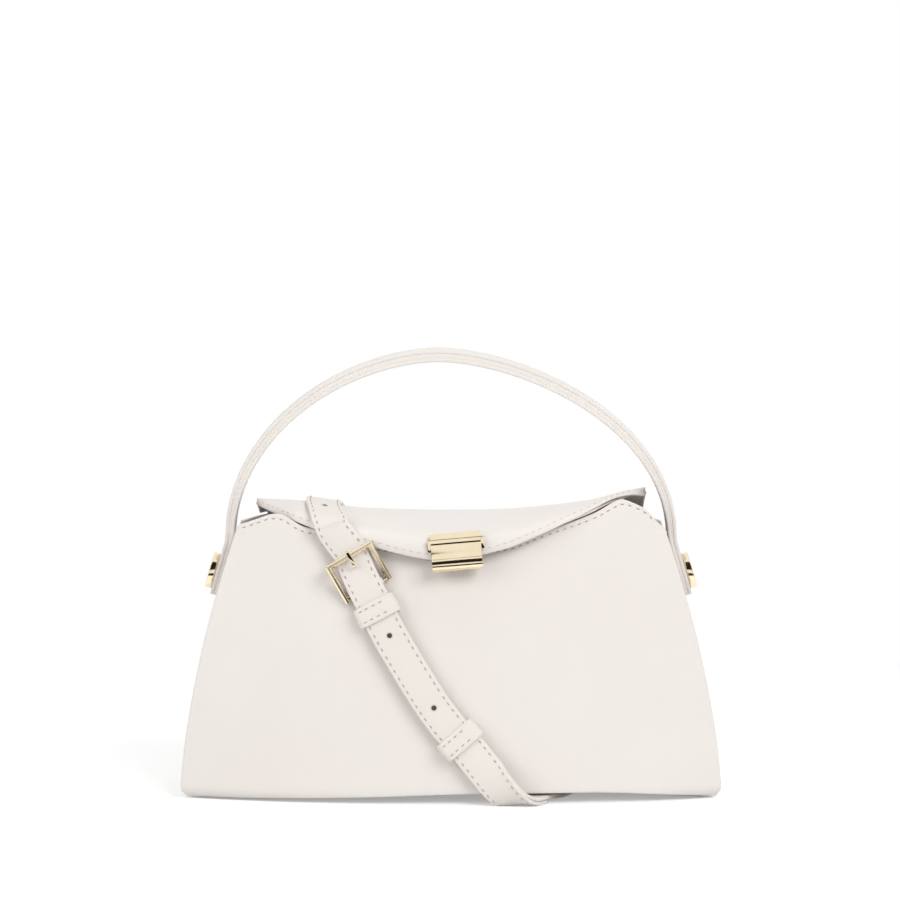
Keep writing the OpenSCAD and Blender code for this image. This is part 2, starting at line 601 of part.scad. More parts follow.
// Strap over the flap: from behind the ridge to the flap's lower edge
over_steps = 12;
over_start = 0.02;
over_end = 0.985;
over_u_shares = [[0, -0.635], [0.5, -0.635], [0.75, -0.61], [1, -0.56]];
over_half_u = strap_w / flap_half / 2;
over_gap = 0.45;
function over_side(u, t, h) = flap_point(u, t) + flap_normal(u, t) * h;
function over_rows(h) = [for (i = [0 : over_steps])
    let (t = mix(over_start, over_end, i / over_steps), u = along(over_u_shares, t),
        w = over_half_u * mix(1, over_widen, t * t))
    [over_side(u - w, t, h), over_side(u + w, t, h)]];
hole_len = 4 * strap_t;
module hole_at(p, n) multmatrix(frame_of(p, n, [0, 0, -1]))
    cylinder(h = hole_len, r = hole_r, center = true);
over_hole_t = 0.62;
over_widen = 1.15;
module strap_over_flap() color(leather) difference() {
    slab(over_rows(over_gap + strap_t), over_rows(over_gap), true);
    hole_at(flap_point(along(over_u_shares, over_hole_t), over_hole_t),
        flap_normal(along(over_u_shares, over_hole_t), over_hole_t));
}
billet_rows = 20;
billet_shears = [0.85, 0.62, 0.4, 0.2];
prong_hole_z = 116.5;
hole_2_z = 83.2;
hole_3_z = 48;
function billet_route() = concat([for (i = [billet_rows : -1 : 0])
        let (z = front_z(i), k = billet_rows - i)
        front_row(z, k < len(billet_shears) ? billet_shears[k] : 0, billet_h(z) - tail_lift)],
    [for (q = roll_route()) [q[0], q[1], 0, billet_lift - tail_lift]]);
module strap_billet() color(leather) difference() {
    strip(billet_route(), 0, strap_t, strap_w);
    for (z = [hole_2_z, hole_3_z]) hole_at(strap_skin(z, billet_lift), skin_normal(strap_x(z), z));
    hole_at(strap_skin(prong_hole_z, buckle_lift), skin_normal(strap_x(prong_hole_z), prong_hole_z));
}

// Buckle: a leaning frame, its top bar over the billet and its heel bar under it
buckle_x = -46.6;
buckle_z = 114.5;
buckle_lean = 29.7;
heel_r = 1;
bar_gap = 0.2;
fold_t = 0.8;
fold_clear = 0.1;
heel_h = fold_t + heel_r + 3 * fold_clear + soft_gap;
top_h = buckle_lift + strap_t + 5 * bar_gap + buckle_wire / 2;
bar_span = buckle_l - buckle_wire;
frame_tilt = asin((top_h - heel_h) / bar_span);
module at_buckle() on_skin(buckle_x, buckle_z, buckle_lean)
    translate([0, -bar_span / 2, heel_h]) children();
module buckle_frame() color(gold) at_buckle() rotate([frame_tilt, 0, 0]) {
    translate([0, bar_span, 0]) cube([buckle_w, buckle_wire, buckle_wire], center = true);
    for (side = [-1, 1]) translate([side * (buckle_w - buckle_wire) / 2, bar_span / 2, 0])
        cube([buckle_wire, buckle_l, buckle_wire], center = true);
    rotate([0, 90, 0]) cylinder(h = buckle_w - buckle_wire, r = heel_r, center = true);
}
prong_w = 1.5;
prong_ring = 0.7;
prong_clear = 0.06;
fold_slot = 3.4;
prong_reach = 12.6;
module buckle_prong() color(gold) at_buckle() {
    rotate([0, 90, 0]) difference() {
        cylinder(h = 2 * prong_w, r = heel_r + prong_clear + prong_ring, center = true);
        cylinder(h = 4 * prong_w, r = heel_r + prong_clear, center = true);
    }
    rise_y = prong_reach - prong_w / 2;
    low_z = heel_r + prong_clear + prong_ring / 2;
    high_z = top_h - heel_h + buckle_wire / 2 + prong_w / 2 + bar_gap;
    translate([0, rise_y / 2, low_z]) cube([prong_w, rise_y, prong_ring], center = true);
    translate([0, rise_y, (low_z + high_z) / 2])
        cube([prong_w, prong_ring, high_z - low_z + prong_ring], center = true);
    translate([0, (rise_y + bar_span + prong_w) / 2, high_z])
        cube([prong_w, bar_span + prong_w - rise_y, prong_ring], center = true);
}

// Tail: folded round the heel bar, down under the billet and on below the base
tail_top = 103.1;
tail_rows = 15;
function tail_route() = concat([front_row(tail_top)],
    [for (i = [tail_rows : -1 : 0]) front_row(front_z(i))], roll_route(),
    places(under_shares), loop_turn(right_turn_shares[0], right_turn_shares[1]),
    places(right_shares), end_fold(1, right_end_n, [0, 0, 1]));
module strap_tail() color(leather) strip(tail_route(), 0, strap_t, strap_w);
module heel_fold() color(leather) at_buckle() difference() {
    rotate([0, 90, 0]) cylinder(h = strap_w, r = heel_r + fold_clear + fold_t, center = true);
    rotate([0, 90, 0]) cylinder(h = buckle_w, r = heel_r + fold_clear, center = true);
    cube([fold_slot, buckle_l, buckle_l], center = true);
}
function rear_route() = concat(reversed(end_fold(-1, left_end_n, [0, 0, 1])),
    places(left_fall_shares), loop_turn(left_turn_shares[0], left_turn_shares[1]),
    places(left_rise_shares), back_climb());
module strap_rear() color(leather) strip(rear_route(), 0, strap_t, strap_w);

// Keepers: closed loops round both layers
keeper_side_gap = 0.5;
module keeper(z) {
    in_w = strap_w + 2 * keeper_side_gap;
    in_h = 2 * strap_t + layer_gap + 2 * soft_gap;
    on_skin(strap_x(z), z, strap_lean(z))
        translate([0, 0, tail_lift - soft_gap + in_h / 2])
            difference() {
                cube([in_w + 2 * keeper_t, keeper_w, in_h + 2 * keeper_t], center = true);
                cube([in_w, keeper_w + overrun, in_h], center = true);
            }
}
keeper_fixed_z = 95.4;
keeper_slide_z = 32.3;
module keeper_fixed() color(leather) keeper(keeper_fixed_z);
module keeper_slide() color(leather) keeper(keeper_slide_z);

// Rings in leather tabs at the back, with snap hooks at the strap's ends
ring_z = 112;
ring_out = 3.5;
ring_y = wall_y(ring_x / half_len(ring_z), ring_z, 0) + ring_out;
ring_r = (ring_w + ring_wire) / 2;
tab_w = 12;
tab_leg = 16;
tab_wall = 1.2;
tab_gather = 3;
bar_wire = ring_wire - 0.3;
ring_lean = 35;
tab_slope = 13;
module at_ring(side, lean) translate([side * ring_x, ring_y, ring_z]) rotate([lean, 0, 0])
    children();
module ring(side) at_ring(side, ring_lean) {
    rotate([0, 90, 0]) cylinder(h = 2 * ring_r, d = bar_wire, center = true);
    for (s = [-1, 1]) translate([s * ring_r, 0, ring_r - ring_drop])
        cylinder(h = ring_drop - ring_r + ring_wire / 2, d = ring_wire);
    translate([0, 0, ring_r - ring_drop]) rotate([90, 0, 180]) mirror([0, 1, 0])
        rotate_extrude(angle = 180) translate([ring_r, 0]) circle(d = ring_wire);
}
module ring_left() color(gold) ring(-1);
module ring_right() color(gold) ring(1);
ring_clear = 0.08;
module ring_tab(side) at_ring(side, tab_slope) {
    bore = bar_wire / 2 + ring_clear;
    difference() {
        union() {
            rotate([0, 90, 0]) cylinder(h = tab_w, r = bore + tab_wall, center = true);
            translate([0, tab_wall / 2 - bore - tab_wall, tab_leg / 2])
                cube([tab_w, tab_wall, tab_leg], center = true);
            translate([0, bore + tab_wall / 2, tab_leg / 2])
                cube([tab_w, tab_wall, tab_leg], center = true);
            translate([0, 0, (tab_leg + tab_gather) / 2])
                cube([tab_w, 2 * bore, tab_leg - tab_gather], center = true);
        }
        rotate([0, 90, 0]) cylinder(h = tab_w + overrun, r = bore, center = true);
    }
}
module ring_tab_left() color(leather) ring_tab(-1);
module ring_tab_right() color(leather) ring_tab(1);

// Snap hooks: an eye closed by a gate, a swivel neck and a bail for the strap's end
hook_lean = 18;
eye_r = 6.5;
eye_wire_r = 1.3;
wire_seat = 3.2;
gate_gap = 9;
gate_y = 4.4;
gate_r = 0.8;
gate_half = 4.2;
neck_wire_r = 2;
bail_h = 8;
side_bar_r = 1.4;
bail_w = strap_w + 4 * end_bar_r;
module at_hook(side) translate(ring_low(side)) rotate([hook_lean, 0, 0])
    translate([0, 0, -wire_seat]) children();
module hook(side) at_hook(side) {
    bail_low = wire_seat - hook_len;
    difference() {
        rotate([90, 0, 90]) rotate_extrude() translate([eye_r, 0]) circle(r = eye_wire_r);
        translate([0, gate_y - 2 * gate_r + eye_r, 0])
            cube([eye_r, 2 * eye_r, gate_gap], center = true);
    }
    translate([0, 0, bail_low + bail_h])
        cylinder(h = -eye_r - bail_low - bail_h, r = neck_wire_r);
    for (z = [bail_low, bail_low + bail_h]) translate([0, 0, z]) rotate([0, 90, 0])
        cylinder(h = bail_w, r = end_bar_r, center = true);
    for (s = [-1, 1]) translate([s * bail_w / 2, 0, bail_low - side_bar_r])
        cylinder(h = bail_h + 2 * side_bar_r, r = side_bar_r);
}
module hook_left() color(gold) hook(-1);
module hook_right() color(gold) hook(1);
module gate(side) at_hook(side) translate([0, gate_y, -gate_half])
    cylinder(h = 2 * gate_half, r = gate_r);
module gate_left() color(gold) gate(-1);
module gate_right() color(gold) gate(1);

front_panel();
back_panel();
front_stiffener();
back_stiffener();
front_lining();
back_lining();
gusset_left();
gusset_right();
gusset_lining_left();
gusset_lining_right();
base_panel();
base_board();
base_lining();
seat_plate();
seat_magnet();
grommet_left();
grommet_right();
flap_leather();
flap_board();
flap_lining();
clasp_cover();
clasp_base();
clasp_rivets();
clasp_magnet();
strap_over_flap();
handle_outer();
handle_inner();
handle_core();
stud_left();
stud_right();
stud_nut_left();
stud_nut_right();
strap_billet();
strap_tail();
heel_fold();
strap_rear();
buckle_frame();
buckle_prong();
keeper_fixed();
keeper_slide();
ring_left();
ring_right();
ring_tab_left();
ring_tab_right();
hook_left();
hook_right();
gate_left();
gate_right();
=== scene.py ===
# A top handle bag dressed in leather and polished gold, with its strap, stitches and studio.
import math
import bpy
from mathutils import Matrix, Vector


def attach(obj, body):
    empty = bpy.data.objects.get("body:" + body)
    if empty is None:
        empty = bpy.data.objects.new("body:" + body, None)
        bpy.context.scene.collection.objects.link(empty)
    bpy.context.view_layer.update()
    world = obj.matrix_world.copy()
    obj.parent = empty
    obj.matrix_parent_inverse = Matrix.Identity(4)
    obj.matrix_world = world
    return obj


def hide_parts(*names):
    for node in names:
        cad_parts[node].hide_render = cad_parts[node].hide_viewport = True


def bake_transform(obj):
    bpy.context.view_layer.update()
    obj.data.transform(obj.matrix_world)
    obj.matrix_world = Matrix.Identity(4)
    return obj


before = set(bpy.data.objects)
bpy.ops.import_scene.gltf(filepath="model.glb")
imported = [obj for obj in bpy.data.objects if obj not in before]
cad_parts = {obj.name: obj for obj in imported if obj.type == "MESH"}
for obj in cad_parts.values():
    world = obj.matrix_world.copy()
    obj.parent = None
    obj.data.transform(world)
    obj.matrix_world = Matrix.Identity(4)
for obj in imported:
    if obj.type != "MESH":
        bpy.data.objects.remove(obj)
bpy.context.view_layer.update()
MM = 0.001
V = Vector

# Shape of the bag, in millimetres, as the solids have it
BASE_LEN, TOP_LEN, CORNER_H = 274, 214, 140
BASE_DEPTH, MOUTH_DEPTH, SEAM_DEPTH, SEAM_TOP = 104, 52, 68, 46
FOOT_R, LEATHER_T, LINING_T, SOFT_GAP = 6, 1.6, 0.6, 0.3
FLAP_HALF, RIDGE_H, HINGE_H, HINGE_Y, FLAP_REACH, FLAP_TIP = 99.5, 140, 139, 26, 39, 121.5
FLAP_LAYER, FLAP_T = 1.2, 3.1
PIVOT_H, TAB_X, TAB_LEAN, TAB_R, TAB_T = 111.5, 119.8, math.radians(16), 12.5, 4
HANDLE_W, HANDLE_T, HANDLE_RISE = 20, 6.3, 98
STRAP_W, STRAP_T = 18, 1.9
HALF_BASE = BASE_LEN / 2
SIDE_BOW, FACE_BOW, FACE_ROUND = 1.6, 1.5, 2.4
BASE_ARCH, FLAP_LIFT, LAYER_GAP = 4.9, 0.6, 0.25


def mix(a, b, t):
    return a + (b - a) * t


def foot_inset(z):
    return FOOT_R - math.sqrt(max(FOOT_R ** 2 - (FOOT_R - z) ** 2, 0)) if z < FOOT_R else 0


def half_len(z):
    return mix(BASE_LEN, TOP_LEN, (max(z, 0) / CORNER_H) ** SIDE_BOW) / 2 - foot_inset(z)


def seam_y(z):
    return mix(SEAM_DEPTH, SEAM_TOP, (max(z, 0) / CORNER_H) ** SIDE_BOW) / 2 - foot_inset(z)


def face_y(z):
    return mix(BASE_DEPTH, MOUTH_DEPTH, (max(z, 0) / CORNER_H) ** FACE_BOW) / 2 - foot_inset(z)


def along(pairs, x):
    """Smooth curve through (place, value) pairs."""
    i = 0
    while i < len(pairs) - 2 and x >= pairs[i + 1][0]:
        i += 1

    def slope(k):
        a, b = pairs[max(k - 1, 0)], pairs[min(k + 1, len(pairs) - 1)]
        return (b[1] - a[1]) / (b[0] - a[0])
    h = pairs[i + 1][0] - pairs[i][0]
    t = (x - pairs[i][0]) / h
    return (pairs[i][1] * (1 + 2 * t) * (1 - t) ** 2 + slope(i) * h * t * (1 - t) ** 2
            + pairs[i + 1][1] * t * t * (3 - 2 * t) + slope(i + 1) * h * t * t * (t - 1))


FRONT_TOP = [(-1, 0.985), (-0.95, 0.998), (-0.9, 1.013), (-0.86, 1.024), (-0.8, 1.022),
             (-0.7, 0.984), (-0.6, 0.968), (-0.48, 0.943), (-0.38, 0.923), (-0.2, 0.905),
             (0, 0.9), (0.14, 0.905), (0.27, 0.92), (0.42, 0.962), (0.56, 0.997),
             (0.644, 1.018), (0.706, 1.036), (0.795, 1.068), (0.838, 1.077), (0.875, 1.068),
             (0.936, 1.041), (0.966, 1.004), (1, 0.968)]
BACK_TOP = [(-1, 0.975), (-0.88, 1.0), (-0.7, 0.998), (-0.4, 0.988), (0, 0.984), (0.4, 0.988),
            (0.7, 0.999), (0.88, 1.002), (1, 0.975)]
ARCH = [(-1, 0), (-0.85, 0.06), (-0.72, 0.14), (-0.35, 0.5), (0, 0.9), (0.25, 1), (0.5, 1),
        (0.62, 0.9), (0.75, 0.62), (0.88, 0.3), (1, 0)]


def front_top(s):
    return CORNER_H * along(FRONT_TOP, s)


def back_top(s):
    return HINGE_H * along(BACK_TOP, s)


def arch(s):
    return BASE_ARCH * max(0, along(ARCH, s))


def wall_y(s, z, d=0.0):
    return seam_y(z) - d + (face_y(z) - seam_y(z)) * (1 - min(abs(s), 1.2) ** FACE_ROUND)


def wall_point(side, s, z, d=0.0):
    return V((s * half_len(z), side * wall_y(s, z, d), z))


def skin_at(x, z, d=0.0, side=-1):
    return wall_point(side, x / half_len(z), z, d)


def skin_normal(x, z, side=-1):
    a = skin_at(x + 1, z, 0, side) - skin_at(x - 1, z, 0, side)
    b = skin_at(x, z + 1, 0, side) - skin_at(x, z - 1, 0, side)
    n = a.cross(b).normalized()
    return n if n.y * side > 0 else -n


RIDGE = [(-1, 0.061), (-0.75, 0.054), (-0.5, 0.024), (-0.25, 0.0065), (0, 0), (0.25, 0.009),
         (0.5, 0.036), (0.71, 0.061), (0.87, 0.087), (1, 0.1)]
REACH = [(-1, 0.02), (-0.96, 0.19), (-0.88, 0.4), (-0.79, 0.6), (-0.6, 0.79), (-0.4, 0.91),
         (-0.2, 0.98), (0, 1), (0.2, 0.98), (0.4, 0.9), (0.6, 0.76), (0.72, 0.64), (0.83, 0.41),
         (0.93, 0.17), (1, 0)]
LOW = [(-1, 0.178), (-0.89, 0.152), (-0.79, 0.131), (-0.64, 0.096), (-0.38, 0.046),
       (-0.25, 0.022), (-0.08, 0.002), (0.05, 0.004), (0.16, 0.022), (0.3, 0.048),
       (0.46, 0.094), (0.62, 0.146), (0.72, 0.182), (0.83, 0.211), (0.93, 0.216), (1, 0.205)]


def bezier(a, b, c, d, t):
    return (a * (1 - t) ** 3 + 3 * b * t * (1 - t) ** 2 + 3 * c * t * t * (1 - t) + d * t ** 3)


def flap_point(u, t):
    x = u * FLAP_HALF
    s = x / half_len(CORNER_H)
    z0 = back_top(s) + FLAP_T + FLAP_LIFT
    y0 = HINGE_Y * wall_y(s, CORNER_H) / wall_y(0, CORNER_H)
    y3 = -FLAP_REACH * along(REACH, u)
    z3 = FLAP_TIP + CORNER_H * along(LOW, u)
    zm = (8 * (RIDGE_H + CORNER_H * along(RIDGE, u)) - z0 - z3) / 6
    pull = mix(0.8, 1.25, max(0, min(1, (zm - z3) / 20)))
    return V((x, bezier(y0, y0 * 0.4, y3 * pull, y3, t), bezier(z0, zm, zm, z3, t)))


def flap_normal(u, t):
    e = 0.04
    a = flap_point(min(u + e, 1), t) - flap_point(max(u - e, -1), t)
    b = flap_point(u, max(t - e, 0)) - flap_point(u, min(t + e, 1))
    return a.cross(b).normalized()


def span(count, width=1.0):
    """Evenly spaced values from -width to width."""
    return [(2 * j / (count - 1) - 1) * width for j in range(count)]


def turned(grid):
    return [list(reversed(row)) for row in grid]


def step_at(points, i):
    """Step along a line of points at its point i."""
    return points[min(i + 1, len(points) - 1)] - points[max(i - 1, 0)]


def mesh_object(name, points, faces, materials):
    mesh = bpy.data.meshes.new(name)
    mesh.from_pydata(points, [], faces)
    for m in materials:
        mesh.materials.append(m)
    obj = bpy.data.objects.new(name, mesh)
    bpy.context.scene.collection.objects.link(obj)
    return obj


THREAD_SLOT = 1


# Mesh builder: points in millimetres, one material index per face
class Shape:
    def __init__(self):
        self.points, self.faces, self.mats = [], [], []

    def grid(self, rows, mat=0, wrap=False, caps=False):
        base, n = len(self.points), len(rows[0])
        for row in rows:
            self.points.extend(row)
        for i in range(len(rows) - 1):
            for j in range(n if wrap else n - 1):
                k = (j + 1) % n
                a = base + i * n
                self.faces.append((a + j, a + k, a + n + k, a + n + j))
                self.mats.append(mat)
        if caps:
            last = base + (len(rows) - 1) * n
            self.faces.append(tuple(base + j for j in reversed(range(n))))
            self.faces.append(tuple(last + j for j in range(n)))
            self.mats.extend((mat, mat))

    def sheet(self, outer, inner, mat=0, inner_mat=0):
        """Closed sheet between two grids with a round rim."""
        r, c = len(outer), len(outer[0])
        steps = 4
        self.grid(outer, mat)
        self.grid(turned(inner), inner_mat)
        loop = ([(0, j) for j in range(c - 1)] + [(i, c - 1) for i in range(r - 1)]
                + [(r - 1, j) for j in range(c - 1, 0, -1)]
                + [(i, 0) for i in range(r - 1, 0, -1)])
        rings = []
        for k in range(steps + 1):
            a = math.pi * k / steps
            ring = []
            for i, j in loop:
                p, q = outer[i][j], inner[i][j]
                e = V((0, 0, 0))
                if i in (0, r - 1):
                    e += (p - outer[1 if i == 0 else r - 2][j]).normalized()
                if j in (0, c - 1):
                    e += (p - outer[i][1 if j == 0 else c - 2]).normalized()
                n = p - q
                e = (e - n.normalized() * e.dot(n.normalized())).normalized()
                ring.append((p + q) / 2 + n / 2 * math.cos(a)
                            + e * (n.length / 2 * math.sin(a)))
            rings.append(ring)
        self.grid(rings, mat, wrap=True)

    def tube(self, centres, radius, sides=8, mat=0, up=V((0, 0, 1))):
        rows = []
        for i, p in enumerate(centres):
            d = step_at(centres, i)
            a = up.cross(d).normalized()
            b = d.cross(a).normalized()
            w = radius[i] if isinstance(radius, (list, tuple)) else radius
            rows.append([p + a * w * math.cos(2 * math.pi * k / sides)
                         + b * w * math.sin(2 * math.pi * k / sides) for k in range(sides)])
        self.grid(rows, mat, wrap=True, caps=True)

    def lathe(self, origin, axis, profile, sides=48, mat=0):
        z = V(axis).normalized()
        x = z.orthogonal().normalized()
        y = z.cross(x)
        rows = [[V(origin) + z * h + (x * math.cos(2 * math.pi * k / sides)
                 + y * math.sin(2 * math.pi * k / sides)) * r for k in range(sides)]
                for r, h in profile]
        self.grid(rows, mat, wrap=True, caps=True)

    def stitches(self, line, length, gap, r):
        """Threads along a line of (point, normal), each a small rounded bar half sunk."""
        mesh_step, sink = 0.65, 0.45
        pts = resample(line, mesh_step)
        if len(pts) < 8:
            return
        step = (length + gap) / mesh_step
        for k in range(max(int((len(pts) - 1) / step), 1)):
            i0 = int(k * step)
            i1 = min(i0 + int(length / mesh_step), len(pts) - 1)
            if i1 - i0 < 2:
                continue
            row, radii = [], []
            for share, width in ((0, 0.35), (0.12, 0.85), (0.35, 1), (0.65, 1), (0.88, 0.85),
                                 (1, 0.35)):
                f = mix(i0, i1, share)
                i = min(int(f), len(pts) - 2)
                p = pts[i][0].lerp(pts[i + 1][0], f - i)
                bow = math.sin(math.pi * share)
                row.append(p + pts[i][1] * (r * (bow * 1.25 - sink)))
                radii.append(r * width)
            self.tube(row, radii, 6, THREAD_SLOT, up=pts[i0][1])

    def build(self, name, body, materials, slot="leather", replaces=(), flat=False, sharp=0):
        """Clean object of the shape. It rides on its body, or on none if no body is given."""
        obj = mesh_object(name, [p * MM for p in self.points], self.faces, materials)
        mesh = obj.data
        mesh.polygons.foreach_set("material_index", self.mats)
        mesh.validate()
        bpy.context.view_layer.objects.active = obj
        bpy.ops.object.select_all(action="DESELECT")
        obj.select_set(True)
        bpy.ops.object.mode_set(mode="EDIT")
        bpy.ops.mesh.select_all(action="SELECT")
        bpy.ops.mesh.remove_doubles(threshold=2e-6)
        bpy.ops.mesh.normals_make_consistent(inside=False)
        bpy.ops.object.mode_set(mode="OBJECT")
        for face in mesh.polygons:
            face.use_smooth = not flat
        if sharp:
            mesh.set_sharp_from_angle(angle=math.radians(sharp))
        if body:
            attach(obj, body)
        if replaces:
            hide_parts(*replaces)
        return obj


def loft(rows):
    """Closed shape through rings of points."""
    shape = Shape()
    shape.grid(rows, 0, wrap=True, caps=True)
    return shape


def resample(line, step):
    """Evenly spaced (point, normal) pairs along a line of such pairs."""
    total, marks = 0.0, [0.0]
    for a, b in zip(line, line[1:]):
        total += (b[0] - a[0]).length
        marks.append(total)
    out, i = [], 0
    for k in range(int(total / step) + 1):
        want = k * step
        while i < len(marks) - 2 and marks[i + 1] < want:
            i += 1
        t = (want - marks[i]) / max(marks[i + 1] - marks[i], 1e-6)
        out.append((line[i][0].lerp(line[i + 1][0], t),
                    line[i][1].lerp(line[i + 1][1], t).normalized()))
    return out


def smooth_rows(rows, per):
    """Smooth curve through rows of (point, normal), with points about per millimetres apart."""
    out = []
    for i in range(len(rows) - 1):
        p0, p1 = rows[max(i - 1, 0)], rows[i]
        p2, p3 = rows[i + 1], rows[min(i + 2, len(rows) - 1)]
        count = max(2, int((p2[0] - p1[0]).length / per) + 1)
        for k in range(count):
            t = k / count
            p, n = [0.5 * ((2 * b) + (c - a) * t + (2 * a - 5 * b + 4 * c - d) * t * t
                           + (3 * b - a - 3 * c + d) * t ** 3)
                    for a, b, c, d in zip(p0, p1, p2, p3)]
            out.append((p, n.normalized()))
    out.append((rows[-1][0], rows[-1][1].normalized()))
    return out


# Materials
def node_material(name, roughness, metallic=0.0, base=(0.8, 0.8, 0.8)):
    m = bpy.data.materials.new(name)
    m.use_nodes = True
    nt = m.node_tree
    bsdf = nt.nodes["Principled BSDF"]
    bsdf.inputs["Base Color"].default_value = (*base, 1)
    bsdf.inputs["Roughness"].default_value = roughness
    bsdf.inputs["Metallic"].default_value = metallic
    return m, nt, bsdf


def add(nt, kind, *sources, **values):
    """Node whose first inputs are linked, and whose settings and other inputs are given."""
    node = nt.nodes.new("ShaderNode" + kind)
    for socket, source in zip(node.inputs, sources):
        if isinstance(source, float):
            socket.default_value = source
        else:
            nt.links.new(source, socket)
    for key, value in values.items():
        if isinstance(value, bpy.types.NodeSocket):
            nt.links.new(value, node.inputs[key])
        elif key in node.inputs:
            node.inputs[key].default_value = value
        else:
            setattr(node, key, value)
    return node


def coords(nt):
    return nt.nodes.new("ShaderNodeTexCoord").outputs["Object"]


def noise(nt, at, scale, detail, roughness):
    node = add(nt, "TexNoise", at, Scale=scale, Detail=detail, Roughness=roughness)
    return node.outputs["Fac"]


def tint(nt, bsdf, source, dark, light, low, high):
    """Base colour between two colours, by a source that runs from low to high."""
    node = add(nt, "ValToRGB", source)
    stops = node.color_ramp.elements
    for stop, place, colour in zip(stops, (low, high), (dark, light)):
        stop.position = place
        stop.color = (*colour, 1)
    nt.links.new(node.outputs["Color"], bsdf.inputs["Base Color"])


def bump(nt, bsdf, height, strength, distance, under=None):
    """Bump into the surface's normal, on top of another bump if one is given."""
    node = add(nt, "Bump", Height=height, Strength=strength, Distance=distance)
    if under is not None:
        nt.links.new(under, node.inputs["Normal"])
    nt.links.new(node.outputs["Normal"], bsdf.inputs["Normal"])
    return node.outputs["Normal"]


def vary_roughness(nt, bsdf, source, low, high):
    node = add(nt, "MapRange", source, **{"To Min": low, "To Max": high})
    nt.links.new(node.outputs["Result"], bsdf.inputs["Roughness"])


def leather(name, light, dark, roughness=0.42, grain=0.00012, sheen=0.08):
    """Smooth calf leather: fine pores and creases, soft clouds of colour, slight wear."""
    m, nt, bsdf = node_material(name, roughness)
    at = coords(nt)
    tint(nt, bsdf, noise(nt, at, 14.0, 4.0, 0.55), dark, light, 0.3, 0.7)
    pores = add(nt, "TexVoronoi", at, Scale=1500.0, feature="DISTANCE_TO_EDGE")
    creases = noise(nt, at, 420.0, 5.0, 0.6)
    vary_roughness(nt, bsdf, creases, roughness - 0.05, roughness + 0.07)
    low = bump(nt, bsdf, noise(nt, at, 28.0, 2.0, 0.5), 0.25, 0.0006)
    mid = bump(nt, bsdf, creases, 0.35, grain, low)
    bump(nt, bsdf, pores.outputs["Distance"], 0.3, grain * 0.6, mid)
    for key, value in (("Sheen Weight", sheen), ("Sheen Roughness", 0.5),
                       ("Coat Weight", 0.08), ("Coat Roughness", 0.35)):
        bsdf.inputs[key].default_value = value
    return m


def thread(name, light, dark):
    """Twisted thread."""
    m, nt, bsdf = node_material(name, 0.7)
    twist = add(nt, "TexWave", coords(nt), Scale=900.0, Distortion=1.5)
    tint(nt, bsdf, twist.outputs["Color"], dark, light, 0.2, 0.8)
    bump(nt, bsdf, twist.outputs["Color"], 0.5, 0.00008)
    bsdf.inputs["Sheen Weight"].default_value = 0.2
    return m


def metal(name, light, dark, roughness):
    """Polished plated metal with faint haze and hairline scratches."""
    m, nt, bsdf = node_material(name, roughness, 1.0, light)
    at = coords(nt)
    haze = noise(nt, at, 60.0, 3.0, 0.5)
    tint(nt, bsdf, haze, dark, light, 0.3, 0.7)
    vary_roughness(nt, bsdf, haze, roughness * 0.7, roughness * 1.6)
    bump(nt, bsdf, noise(nt, at, 900.0, 2.0, 0.5), 0.06, 0.00003)
    return m


def suede(name, light, dark):
    """Matt napped surface with uneven patches."""
    m, nt, bsdf = node_material(name, 0.9)
    at = coords(nt)
    nap = noise(nt, at, 700.0, 6.0, 0.7)
    both = add(nt, "Math", nap, noise(nt, at, 30.0, 3.0, 0.6), operation="ADD")
    half = add(nt, "Math", both.outputs[0], 0.5, operation="MULTIPLY")
    tint(nt, bsdf, half.outputs[0], dark, light, 0.35, 0.65)
    bump(nt, bsdf, nap, 0.5, 0.0002)
    bsdf.inputs["Sheen Weight"].default_value = 0.35
    return m


BODY = leather("body_leather", (0.815, 0.77, 0.735), (0.785, 0.737, 0.7))
FLAP = leather("flap_leather", (0.82, 0.775, 0.74), (0.79, 0.745, 0.705), 0.4)
STRAP = leather("strap_leather", (0.81, 0.765, 0.72), (0.78, 0.73, 0.685), 0.45)
HANDLE = leather("handle_leather", (0.815, 0.77, 0.725), (0.785, 0.735, 0.69), 0.42)
EDGE = leather("edge_paint", (0.76, 0.7, 0.63), (0.7, 0.64, 0.57), 0.35, 0.00005, 0.0)
FLESH = suede("flesh_side", (0.6, 0.52, 0.44), (0.52, 0.44, 0.36))
LINING = suede("suede_lining", (0.21, 0.13, 0.08), (0.15, 0.09, 0.055))
BOARD = suede("fibre_board", (0.5, 0.42, 0.32), (0.4, 0.33, 0.24))
THREAD = thread("thread", (0.5, 0.42, 0.35), (0.36, 0.29, 0.235))
PALE_THREAD = thread("pale_thread", (0.7, 0.63, 0.56), (0.6, 0.53, 0.46))
GOLD = metal("pale_gold", (0.93, 0.81, 0.59), (0.88, 0.75, 0.53), 0.1)
STEEL = metal("plain_steel", (0.6, 0.6, 0.61), (0.52, 0.52, 0.54), 0.3)
# Painted shade: a dark disc that stands for the shade inside each punched hole
HOLE_SHADE = suede("hole_painted_shade", (0.1, 0.065, 0.04), (0.06, 0.04, 0.025))


def grid_normals(grid, towards):
    """Normals of the grid on the side of a direction."""
    out = []
    columns = list(zip(*grid))
    for i, row in enumerate(grid):
        line = [step_at(row, j).cross(step_at(columns[j], i)).normalized()
                for j in range(len(row))]
        out.append([n if n.dot(towards) > 0 else -n for n in line])
    return out


def rows_below(top, low, marks, count):
    """Heights from the top edge down: close ones near the edge, even ones below."""
    zs = [top - m for m in marks]
    last = zs[-1]
    for k in range(1, count + 1):
        zs.append(mix(last, low, (k / count) ** 0.9))
    return zs


FOOT_GAP = 1.2
EDGE_MARKS = (0.8, 1.3, 1.9, 2.3, 2.6, 2.9, 3.3, 4.0, 5.5, 8.0)
STITCH_DROP = 2.6


